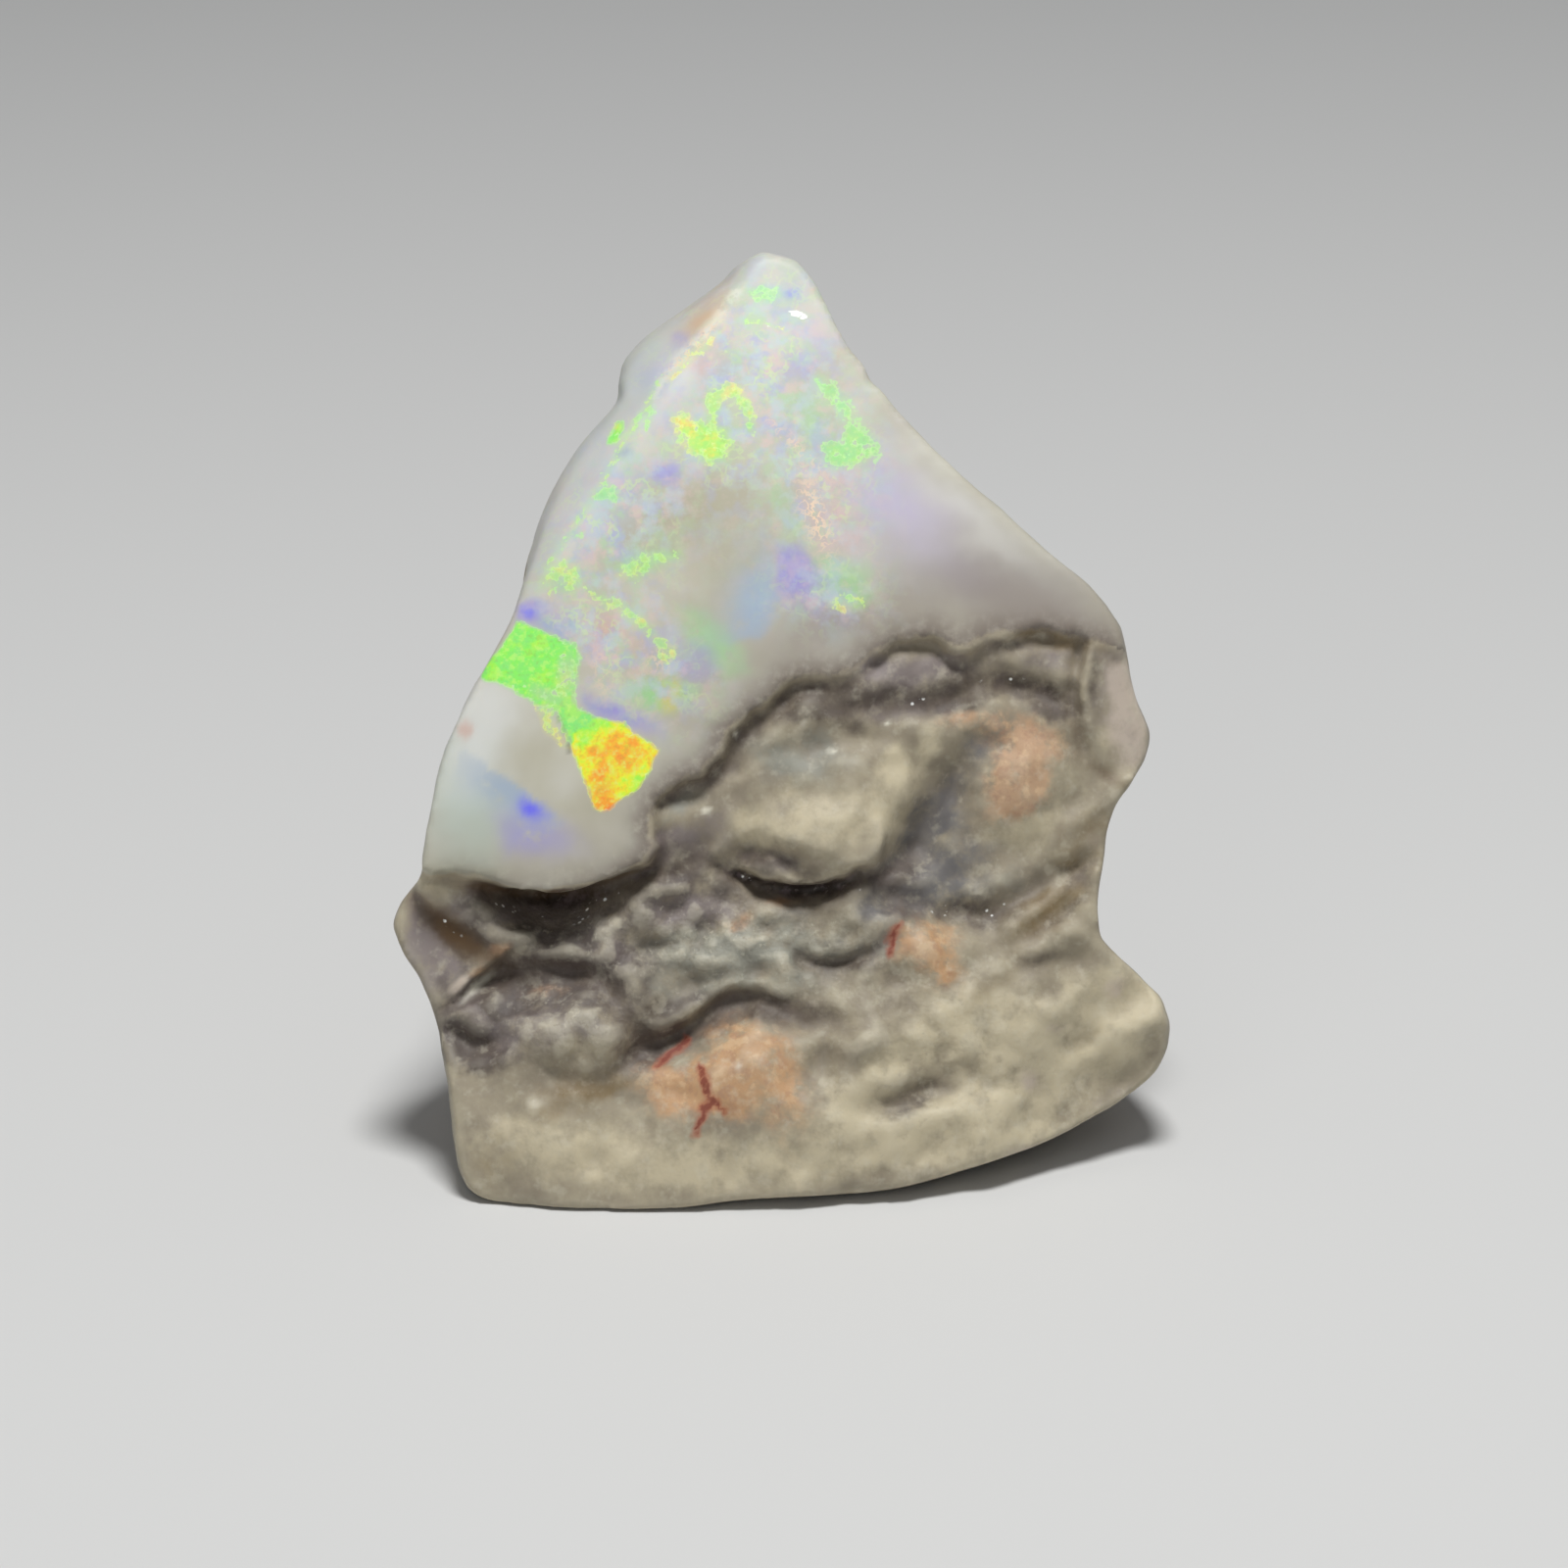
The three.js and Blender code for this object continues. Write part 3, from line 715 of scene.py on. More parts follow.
def spots(dabs, places):
    """Several soft spots in one mask. Each is u, v, long, wide, turn and strength."""
    rest = np.ones(len(places))
    for u, v, long, wide, turn, strength in dabs:
        rest *= 1 - strength * dab(places, u, v, long, wide, turn)
    return 1 - rest


store("ground", ground)
store("ground_smooth", ground * on_front)
store("back", smooth_step(0.1, -0.7, facing))
store("side", (1 - on_front) * smooth_step(-0.7, 0.1, facing))
store("clean", on_facets(uv, np.zeros(len(uv)))[1] * on_front)
store("pit", pit)
store("grain_pit", grain_pit)
store("grainy", graininess(uv) * on_front)
print("attributes", len(stone.data.attributes))

# %% [markdown]
# ## Stains in the potch
# Potch takes up clay and iron as it sets, so it is cream in one place, slate in another and peach where
# it is stained with rust. The two darkest, umber and smoke, are in part brown stain and in part painted
# shade. Each stain is a list of soft spots: u, v, length, width, turn and strength. A painted map would
# need an image, and these few numbers do the same and stay readable. They overlap as washes do.

# %% Pale stains
STAINS = {
    "ash": [
        [9.1, 14.9, 0.3, 1.2, 5, 0.3], [-2.8, 11.5, 0.7, 0.4, 30, 0.9], [-7.3, 7.6, 0.6, 0.2, 0, 0.6],
        [-1.3, 7.3, 4, 1.3, 0, 0.8], [-5.6, 5.4, 1.5, 0.7, 8, 0.4], [0.4, 12.9, 1.8, 0.9, -10, 0.7],
        [6.6, 9.3, 1.2, 0.8, 10, 0.4]],
    "cream": [
        [-9.7, 8.9, 0.6, 0.3, -25, 1], [-0.6, 10.9, 0.8, 0.5, -10, 0.9], [3.2, 12.4, 0.5, 0.8, 0, 0.8],
        [3.6, 4.6, 0.9, 0.5, 0, 0.7], [-2.5, 1.4, 3.5, 0.9, 0, 0.8], [2, 3, 1.4, 1, 10, 0.9],
        [0.3, 11.9, 1.2, 0.6, 20, 0.4], [1.3, 10.9, 1.5, 0.8, -5, 0.7], [2.5, 11.4, 0.9, 0.8, 0, 0.7],
        [4.1, 13, 1.1, 0.3, 75, 0.7], [8.6, 11.6, 0.8, 0.5, 30, 0.3], [9.6, 5.8, 1.8, 1.2, 30, 1],
        [7, 4.9, 2.4, 1.3, 20, 0.9], [-6.6, 2, 3, 1, 0, 0.75], [4, 2.2, 4, 0.9, 8, 0.9],
        [4.8, 5.6, 1.6, 1, 20, 0.7], [7.6, 11.9, 0.9, 0.5, 60, 0.4], [6.8, 10.8, 1.1, 0.7, 0, 1],
        [3, 4.3, 1.1, 0.4, 25, 0.8], [8, 4, 1.8, 0.8, 25, 1], [7.9, 4.1, 1.2, 0.5, 25, 0.9],
        [6.2, 1.8, 1.6, 0.6, 12, 0.8], [-5.6, 4.7, 0.9, 0.4, 0, 0.8], [9.2, 13.3, 0.6, 0.6, 0, 0.6]],
    "shell": [
        [9.8, 14.5, 0.7, 1.6, 8, 1], [9.9, 13, 0.5, 0.5, 0, 0.7], [-8.9, 6.5, 0.45, 0.2, 45, 0.9],
        [9.6, 6.4, 0.5, 0.3, 30, 0.7], [7.1, 3.7, 0.6, 0.4, 15, 0.6], [6.9, 1.6, 0.9, 0.3, 12, 0.6],
        [8, 5.2, 0.4, 0.25, 20, 0.5], [0.8, 10, 0.4, 0.2, 0, 0.4], [0, 8.8, 0.35, 0.2, 0, 0.4],
        [8.9, 10.5, 0.4, 0.4, 30, 0.4]],
    # Chalk: the white chips, and the tiniest dots on the potch, which are painted glints.
    "chalk_and_glints": [
        [0.6, 13.8, 0.09, 0.07, 0, 0.8], [1.4, 13, 0.1, 0.09, 0, 0.8], [3, 13.8, 0.1, 0.07, 30, 0.7],
        [-2.1, 11.3, 0.11, 0.1, 0, 0.9], [-1.3, 13.5, 0.07, 0.07, 0, 0.7],
        [-6.95, 3.15, 0.2, 0.15, 0, 0.4], [-8.6, 6.35, 0.5, 0.1, 45, 0.8],
        [-1.2, 4.2, 0.1, 0.1, 0, 0.6], [-3.9, 12.9, 0.08, 0.07, 0, 0.8]],
}
print("pale stains", sum(len(dabs) for dabs in STAINS.values()))

# %% Green, mauve and slate stains
STAINS.update({
    "moss": [
        [7.6, 8.6, 1.6, 0.7, 36, 0.8], [-9.2, 8.2, 1.1, 0.2, -35, 1], [-5.2, 4, 1.4, 0.3, 0, 0.4],
        [7.6, 16.2, 1.5, 0.35, -8, 0.7], [9.4, 16.1, 0.45, 0.25, 0, 0.6], [-6.3, 3, 1.6, 0.5, 0, 0.4],
        [-8, 1.6, 0.9, 0.9, 0, 0.4], [5.8, 6.4, 1.4, 0.4, 30, 0.4], [8.8, 5, 1.2, 0.3, 32, 0.3],
        [-5.3, 3.6, 1.4, 0.3, 0, 0.8], [8.8, 10.6, 1.2, 0.9, 32, 0.5], [-9.7, 7.1, 0.5, 0.5, 0, 0.5]],
    "mauve": [
        [-9.2, 6.9, 0.6, 0.6, 0, 0.8], [-8.5, 8.4, 0.9, 0.5, -15, 0.9], [3.6, 15.3, 1.5, 0.5, 0, 0.8],
        [7, 13.3, 0.6, 0.3, 0, 0.5], [-8.3, 5, 1.1, 0.7, 0, 0.9], [-4.8, 7.3, 0.8, 0.5, 0, 0.8],
        [-2.8, 8.5, 1.5, 0.5, 5, 0.7], [-3.4, 4.6, 1.2, 0.5, 10, 0.6], [-9.8, 7.4, 0.7, 1.1, 15, 1],
        [-6.6, 6.6, 2.4, 0.8, 5, 0.9], [-5.8, 5.2, 1.6, 0.8, 5, 0.6], [-10.2, 7.9, 0.5, 0.9, 10, 0.6],
        [-7, 8.5, 2, 0.6, -5, 0.9], [-8, 5.8, 1.3, 0.6, 10, 0.7], [9.2, 14.6, 0.6, 1.4, 0, 0.5],
        [3.2, 15.2, 1.8, 0.45, 8, 0.6], [-3.6, 8.8, 1.6, 0.7, 20, 0.5], [7.4, 15.7, 1.6, 0.5, -5, 0.5],
        [-2.1, 10.6, 0.9, 1.4, -35, 0.4], [9.6, 3.4, 1.3, 0.3, 32, 0.4], [-9.7, 2.8, 0.4, 2, 6, 0.5],
        [-3.1, 10.4, 0.6, 0.45, 45, 0.9], [-0.1, 9.8, 0.6, 0.35, -10, 0.9],
        [3.4, 14.3, 1.8, 0.5, 3, 0.6], [-8.7, 5.4, 0.9, 0.6, 20, 0.9], [-1.9, 8.6, 0.8, 0.4, 10, 0.7]],
    "slate": [
        [4.8, 8.9, 1.2, 0.4, 0, 0.8], [4.3, 11.3, 1, 0.6, 55, 0.75], [3.9, 10.6, 0.6, 0.4, 50, 0.9],
        [5.2, 10.1, 1.3, 0.6, 5, 0.5], [2.6, 7.6, 1.6, 0.5, 0, 0.5], [6.2, 13.4, 0.6, 0.15, 20, 0.5],
        [0, 8.3, 0.7, 0.3, 0, 0.4], [4.8, 11, 0.5, 0.5, 0, 0.7], [3.9, 9.2, 1.5, 0.8, 0, 1],
        [2.8, 8.5, 0.7, 0.4, 0, 0.7], [3.4, 10.1, 0.6, 0.4, 50, 0.9], [5.6, 13.1, 0.7, 0.35, 20, 0.5],
        [5.1, 12.4, 0.9, 0.5, 60, 0.45]],
})
print("stains so far", sum(len(dabs) for dabs in STAINS.values()))

# %% Brown stains and painted shade
STAINS.update({
    # Umber and smoke are in part brown stains and in part painted shade, under the ledges and in hollows.
    "umber_and_shade": [
        [1.2, 14.5, 0.9, 0.4, 10, 0.6], [3.8, 15.3, 1.2, 0.3, 0, 0.3], [2, 13.7, 1.2, 0.35, 0, 0.5],
        [-1, 4.9, 0.9, 0.3, 0, 0.35], [-8.4, 4.5, 0.9, 0.4, 0, 0.8], [3.6, 2.9, 0.9, 0.35, 10, 0.5],
        [-3, 5.9, 1.2, 0.35, 20, 0.7], [-1.9, 5.4, 0.7, 0.35, 30, 0.6], [-7.4, 6.35, 1, 0.35, 10, 0.8],
        [-7.8, 5.8, 0.8, 0.35, 20, 0.9], [3.7, 9.4, 1.2, 0.8, 20, 0.5], [4.9, 14.2, 0.8, 0.3, 0, 0.6],
        [7.6, 14.2, 0.7, 0.35, 0, 0.9], [-1.6, 9.1, 0.8, 0.3, 0, 0.5],
        [-9.4, 7.9, 0.9, 0.35, -38, 0.8], [-6.7, 6.3, 2.1, 0.4, 2, 0.9], [-5, 6.2, 1, 0.5, -40, 0.5],
        [-9.3, 6.4, 0.3, 0.9, 20, 0.4], [0.9, 14.5, 1.2, 0.45, 5, 0.7],
        [-1.2, 13.3, 1.2, 0.35, 48, 0.6], [-2.9, 12, 0.7, 0.2, 25, 0.3], [6.3, 15.9, 0.5, 0.2, 0, 0.6],
        [-8.7, 4.6, 0.9, 0.5, 0, 0.8], [-9.4, 5.3, 0.4, 0.8, 0, 0.7], [-3.7, 4.5, 0.8, 0.4, 20, 0.7],
        [-3.6, 9.2, 0.9, 0.35, 5, 0.8], [-4, 7.1, 1, 0.35, 0, 0.5], [1.2, 7.7, 0.8, 0.25, 0, 0.4],
        [5.9, 14.8, 1.2, 0.3, 15, 0.5], [7.6, 14.6, 0.8, 0.3, -20, 0.7],
        [-3.5, 5.2, 1.2, 0.4, 12, 0.8], [-2.2, 9.9, 1, 0.5, 50, 0.4], [-6.2, 6.85, 2.2, 0.35, 2, 0.8],
        [3, 14.6, 3.2, 0.4, 8, 0.7], [7, 14.9, 1.6, 0.35, -5, 0.4], [-9, 4.85, 0.7, 0.28, -10, 0.9],
        [3.9, 3.4, 1.5, 0.35, 15, 0.5], [7.2, 7.05, 0.7, 0.25, 20, 0.5],
        [8.6, 9.6, 1.3, 0.22, 34, 0.5], [8.1, 8.5, 1.5, 0.22, 36, 0.5], [-9.8, 3.4, 0.3, 2.2, 6, 0.6],
        [-0.4, 9.9, 0.9, 0.35, -15, 0.8], [-0.5, 5.8, 2, 0.4, -8, 0.7], [1.9, 7, 1.4, 0.3, 5, 0.6],
        [5.5, 8.4, 1.8, 0.4, 5, 0.6], [8.8, 15.5, 0.2, 0.9, 5, 0.5], [9, 13.2, 0.25, 0.8, 10, 0.4],
        [-4, 6.2, 0.8, 0.4, -50, 0.6], [-7.2, 6.45, 0.5, 0.3, 0, 0.9], [-8, 5.85, 0.5, 0.3, 0, 0.8],
        [-7.2, 5.85, 0.5, 0.25, 0, 0.6], [-8.8, 7.6, 0.35, 0.3, 0, 0.7],
        [0.8, 14.2, 0.5, 0.25, 0, 0.6], [4.8, 14.25, 0.7, 0.25, 5, 0.7], [8.8, 15.1, 0.2, 0.6, 0, 0.5],
        [-3.6, 4.1, 0.8, 0.35, 10, 0.6], [-8.8, 4.55, 0.6, 0.35, 0, 0.7],
        [-1.6, 5.3, 0.5, 0.3, 20, 0.6], [-3.2, 9.4, 0.3, 0.25, 0, 0.7], [-6.6, 7.6, 1.5, 0.5, -3, 1],
        [-8.5, 8.4, 0.6, 0.4, -20, 0.9], [-1.9, 12.3, 1.2, 0.35, 20, 0.6],
        [-3.3, 11.6, 0.5, 0.25, 20, 0.7], [-2.9, 9.9, 0.4, 0.5, 0, 0.5],
        [-7.6, 6.1, 0.9, 0.5, 10, 0.6], [-9.3, 5.1, 0.6, 0.7, 0, 0.6], [-6, 7.6, 0.8, 0.5, -10, 0.4],
        [-3.2, 9.4, 0.5, 0.4, 0, 0.4], [-1.7, 5.2, 0.8, 0.5, 0, 0.4]],
    "smoke_and_shade": [
        [-6.6, 6.3, 2.2, 0.6, 3, 0.75], [-6.2, 5.6, 2, 0.45, 5, 0.4], [-8.7, 8, 0.8, 0.4, -20, 0.45],
        [-8.8, 4.6, 0.8, 0.6, 0, 0.6], [-7.9, 5.8, 0.7, 0.4, 0, 0.5], [-3, 5.1, 1.9, 0.6, 8, 0.4],
        [-3.6, 4, 0.9, 0.5, 0, 0.35], [-4.5, 8, 2.2, 0.6, 5, 0.35], [-3, 9.1, 1.5, 0.6, 10, 0.45],
        [3.6, 8.6, 2.2, 0.8, 0, 0.3], [3.6, 10.1, 0.8, 0.5, 50, 0.45], [4.7, 14.2, 0.9, 0.4, 0, 0.55],
        [1, 14.2, 0.7, 0.3, 0, 0.5], [8.2, 14.3, 0.6, 0.3, 0, 0.4], [3.6, 2.9, 1.2, 0.4, 10, 0.35],
        [4.8, 11.2, 0.4, 0.4, 0, 0.3], [-5.4, 5.8, 0.9, 0.4, -20, 0.4], [-4.1, 8.7, 0.9, 0.4, 35, 0.6],
        [-4.9, 5.9, 0.6, 0.35, -30, 0.6], [-1.7, 9.3, 0.6, 0.3, 0, 0.6], [3.3, 8.3, 0.7, 0.3, 0, 0.5],
        [3.6, 9.5, 0.8, 0.35, 20, 0.5], [2.4, 7, 0.5, 0.3, 0, 0.5], [-8.8, 7, 0.3, 0.3, 0, 0.6],
        [-2.8, 5.1, 0.7, 0.3, 0, 0.4], [-9.5, 5.3, 0.4, 0.5, 0, 0.7], [8.8, 9.4, 0.4, 0.3, 30, 0.5],
        [7, 13.25, 0.35, 0.25, 0, 0.5], [-6.2, 7.7, 1.2, 0.5, 0, 0.8]],
})
print("pale and dark stains", sum(len(dabs) for dabs in STAINS.values()))

# %% Rusty stains
STAINS.update({
    "peach": [
        [5.4, 13.85, 1, 0.3, 8, 0.9], [6.8, 13.5, 1, 0.45, 0, 0.85], [6.3, 11.6, 0.6, 0.6, 0, 0.9],
        [7.7, 13.1, 0.5, 0.5, 0, 0.7], [5.9, 12.2, 0.3, 0.2, 0, 0.5], [-6.6, 6.2, 0.7, 0.25, 5, 0.5],
        [-8.4, 6.9, 0.35, 0.25, 40, 0.7], [-7.9, 7.5, 0.35, 0.25, 0, 0.8],
        [-1.3, 8.3, 0.5, 0.25, 20, 0.6], [0.1, 8.6, 0.45, 0.22, 0, 0.7], [6.8, 11.9, 0.7, 0.5, 20, 1],
        [6.6, 12.8, 0.8, 0.7, 60, 1]],
    "apricot": [
        [0.05, 8.65, 0.25, 0.15, 0, 1], [4.1, 7.5, 1, 0.7, -20, 1], [4.6, 6.9, 0.4, 0.4, 0, 0.9],
        [-1, 4.8, 1.2, 0.7, 0, 0.95], [-1.6, 3.7, 1.7, 0.9, 10, 0.9], [-3.1, 3.6, 0.9, 0.6, -10, 0.85],
        [0.2, 3.4, 0.5, 1.2, 0, 0.7]],
})
for name, dabs in STAINS.items():
    looked_up = uv + fine_wander if name == "chalk_and_glints" else soft_uv
    store(name, spots(dabs, looked_up) * on_front)
print("all stains", sum(len(dabs) for dabs in STAINS.values()))

# %% [markdown]
# ## Rust veins
# Thin red-brown cracks run through the peach stains. They are too thin to keep as a mask at the
# vertices, and would come out dotted. So each vertex keeps its distance to the nearest vein, which
# changes evenly, and the shader draws the thin line from it.

# %% Rust veins
VEINS = [
    [[-3.5, 4.1], [-3.3, 4.4], [-2.9, 4.6], [-2.7, 4.9]],
    [[-2.3, 4.2], [-2.1, 3.7], [-1.9, 3.3], [-2.2, 3], [-2.3, 2.6], [-2.4, 2.3]],
    [[-1.9, 3.3], [-1.6, 3]],
    [[3, 7.3], [3.05, 7.7], [3.3, 8.1]],
]
vein_distance = np.min([nearest_on_line(uv + 1.6 * fine_wander, vein)[0] for vein in VEINS], axis=0)
store("from_vein", np.minimum(vein_distance, 1) + (1 - on_front))
print("veins", len(VEINS))

# %% [markdown]
# ## Dark grooves
# Under each ledge the fresh dark potch shows, and light hardly gets in, so the grooves are painted dark:
# partly dark potch and partly painted shade. The same ledge lines that carved the drops now say where it
# is dark, so the two always agree: a narrow band for the groove and a wider one for the painted shade
# around it. Deep places are painted darker still. Golden clay shows along some lips, a few glints are
# painted white, and near the top the ground face has one small painted highlight, a white patch.

# %% Dark grooves
DEEPEST = [
    [-6.2, 8.8, 1.8, 0.45, 0, 1], [-3.5, 9.6, 0.8, 0.25, 10, 0.6], [0.9, 9.1, 1.4, 0.5, 0, 1],
    [-1.1, 9.6, 0.8, 0.3, -20, 0.8], [7, 14.8, 1.2, 0.4, -5, 0.6], [-9.2, 8.1, 1.5, 0.3, -38, 0.4],
    [-0.4, 9.9, 0.9, 0.3, -15, 0.6],
]
groove = np.zeros(len(points))
shade = np.zeros(len(points))
for ledge in LEDGES.values():
    below, depth, _ = below_ledge(near_uv, ledge)
    lip = softness(ledge, depth)
    share = ledge["dark"] * smooth_step(0, 0.4, depth)
    width = 0.25 + 0.2 * depth
    start = smooth_step(-lip, lip, below)
    groove = np.maximum(groove, start * (1 - smooth_step(0.3 * width, 1.8 * width, below)) * share)
    shade = np.maximum(shade, start * (1 - smooth_step(0.6 * width, 3.2 * width, below)) * share)
rough = on_front * (1 - ground)
store("groove", groove * (0.3 + 0.7 * spots(DEEPEST, uv)) * rough)
store("shade", shade * rough)
print("share in a groove", round(float((groove * rough > 0.3).mean()), 3))

# %% Golden lips, painted glints and a painted highlight
GOLD = [
    [-9.3, 8, 1.4, 0.3, -37, 1], [-9.2, 7.75, 0.9, 0.25, -30, 1], [-8.2, 9.15, 0.9, 0.16, -8, 0.9],
    [-6.6, 9, 1.2, 0.12, 0, 0.7],
    [-4.6, 9.5, 0.8, 0.14, 25, 0.6], [9.3, 12.3, 0.7, 0.15, -35, 0.6], [8.4, 13.4, 0.15, 0.6, 0, 0.4],
]
# Painted glints: small white specks in the colour where light would catch.
GLINTS = [
    [-0.6, 25.2, 0.4, 0.06, -10, 0.8], [-7.9, 8.65, 0.5, 0.15, -20, 1], [-6.8, 8.3, 0.25, 0.12, 0, 1],
    [-5.6, 8.4, 0.5, 0.2, 30, 1], [-4.9, 8.9, 0.4, 0.1, 20, 1], [2, 9.1, 0.25, 0.1, 10, 1],
    [-1, 9.45, 0.3, 0.1, 0, 1], [3.6, 14.4, 0.9, 0.1, 5, 1], [4.6, 8.5, 0.4, 0.15, 0, 1],
    [6, 8.5, 0.4, 0.15, 30, 1], [6.3, 15, 0.8, 0.15, 0, 0.8], [-9.3, 8.05, 0.5, 0.1, -38, 1],
]
# A small white patch near the top of the ground face: a painted highlight.
TOP_HIGHLIGHT = [
    [0.42, 25.57, 0.22, 0.1, -15, 1], [0.7, 25.46, 0.13, 0.08, 30, 1], [1, 25.62, 0.07, 0.12, 0, 0.9],
]
store("top_highlight", spots(TOP_HIGHLIGHT, uv + 1.5 * fine_wander))
store("gold", spots(GOLD, uv + fine_wander) * rough)
store("sparkle", spots(GLINTS, uv) * on_front)
print("golden lips", len(GOLD), "glints", len(GLINTS), "painted highlights at the top", len(TOP_HIGHLIGHT))

# %% [markdown]
# ## Flashes under the ground face
# Opal shows its colour in panes that lie at different depths. Each pane is an outline with a soft edge,
# and it glows most at one place (across, up, long, wide, turn), because most panes have one straight
# side and fade out towards the others. Body tints are plain soft spots.

# %% Body tints
BODY = {
    "warm_body": [
        [5.4, 17.8, 2.8, 1.2, -22, 0.95], [7.5, 17.2, 2, 1, -30, 0.7], [1.5, 16.6, 2.2, 0.8, 15, 0.7]],
    "olive_body": [
        [-2.3, 19.9, 2, 1.2, 25, 0.9], [-5.9, 11.7, 1, 0.7, -10, 0.8], [-1.6, 18.2, 1.4, 0.9, 0, 0.6],
        [-7, 12.9, 1.5, 0.6, -35, 0.5], [-2.2, 16.9, 0.9, 0.5, -30, 0.5], [-9.4, 9.7, 0.6, 0.5, 0, 1],
        [-8.6, 9.65, 0.8, 0.25, 0, 0.9]],
    "sea_body": [
        [-8.9, 11.6, 0.9, 2, 8, 0.8], [-3.7, 24, 1.2, 0.8, 45, 0.8], [0, 26.2, 1.3, 1, 0, 0.7],
        [-4.9, 21.9, 0.8, 1.2, -35, 0.5], [-8.6, 13.2, 0.6, 1.2, -25, 0.4]],
    "lilac_body": [
        [3.3, 20, 1.9, 1.1, -42, 0.95], [-2.3, 24, 0.5, 0.4, 20, 0.7],
        [0.95, 24.85, 0.5, 0.35, -50, 0.8], [-3.4, 22.7, 0.6, 0.5, 0, 0.6],
        [1.5, 19.3, 0.9, 0.7, -50, 0.5], [-6.9, 16.2, 0.8, 0.5, -20, 0.3]],
    "sand_body": [
        [-2.3, 25.45, 1.1, 0.36, 38, 1]],
    "pale_body": [
        [-3.2, 23.9, 0.8, 0.7, 40, 0.9], [-5.4, 20.4, 3, 0.9, 60, 0.7],
        [-8.6, 13.2, 1.8, 0.9, 70, 0.8], [-6, 12, 0.6, 0.6, 0, 0.4], [-8.3, 14.4, 0.9, 0.7, -35, 0.6],
        [5.6, 19.4, 2.2, 0.4, -42, 0.4], [-0.5, 24.4, 1.2, 1.6, 0, 0.4]],
}
for name, dabs in BODY.items():
    store(name, spots(dabs, soft_uv))
away_from_left = smooth_step(-6, -3.5, uv[:, 0])
store("near_brow", smooth_step(-1.0, 0.1, brow_below) * (0.4 + 0.6 * away_from_left))
# Painted shade on the ground face, growing towards the brow.
store("shade_towards_brow", smooth_step(-2.8, 0.2, brow_below) * (0.5 + 0.5 * smooth_step(-7.5, -2.5, uv[:, 0])))
PRECIOUS = [
    [-0.8, 23.6, 2.4, 3.2, 0, 1], [-4.6, 19.6, 1.6, 2.6, -30, 0.9], [-4.8, 16.2, 2, 1.5, -30, 0.8],
    [1.2, 20.6, 1.5, 2.4, 0, 0.7], [-3, 14.8, 1.2, 1, 0, 0.6], [1.2, 17.4, 1.5, 0.8, 0, 0.6],
]
store("precious", spots(PRECIOUS, soft_uv) * (1 - spots(BODY["sand_body"], soft_uv)))
print("body tints", list(BODY))

# %% Along the fold
FOLD = [
    [-1.3, 26.2], [-2.3, 24.85], [-3.3, 23.85], [-3.75, 22.75], [-4.45, 21.85], [-5.05, 20.6],
    [-5.8, 19.35], [-6.5, 18.35], [-7.2, 17.5],
]
from_fold, side_of_fold = nearest_on_line(uv + 0.4 * fine_wander, FOLD)[:2]
RIDGE_WIDTH = 0.16
# Where the painted highlight runs along the fold ridge, near the top.
store("fold", np.exp(-((from_fold / RIDGE_WIDTH) ** 2)) * smooth_step(21, 24, uv[:, 1]) * on_front)
beyond_fold = from_fold * side_of_fold
store("bevel", smooth_step(-0.1, 0.5, beyond_fold) * ground * on_front)
print("share beyond the fold", round(float((beyond_fold > 0).mean()), 2))

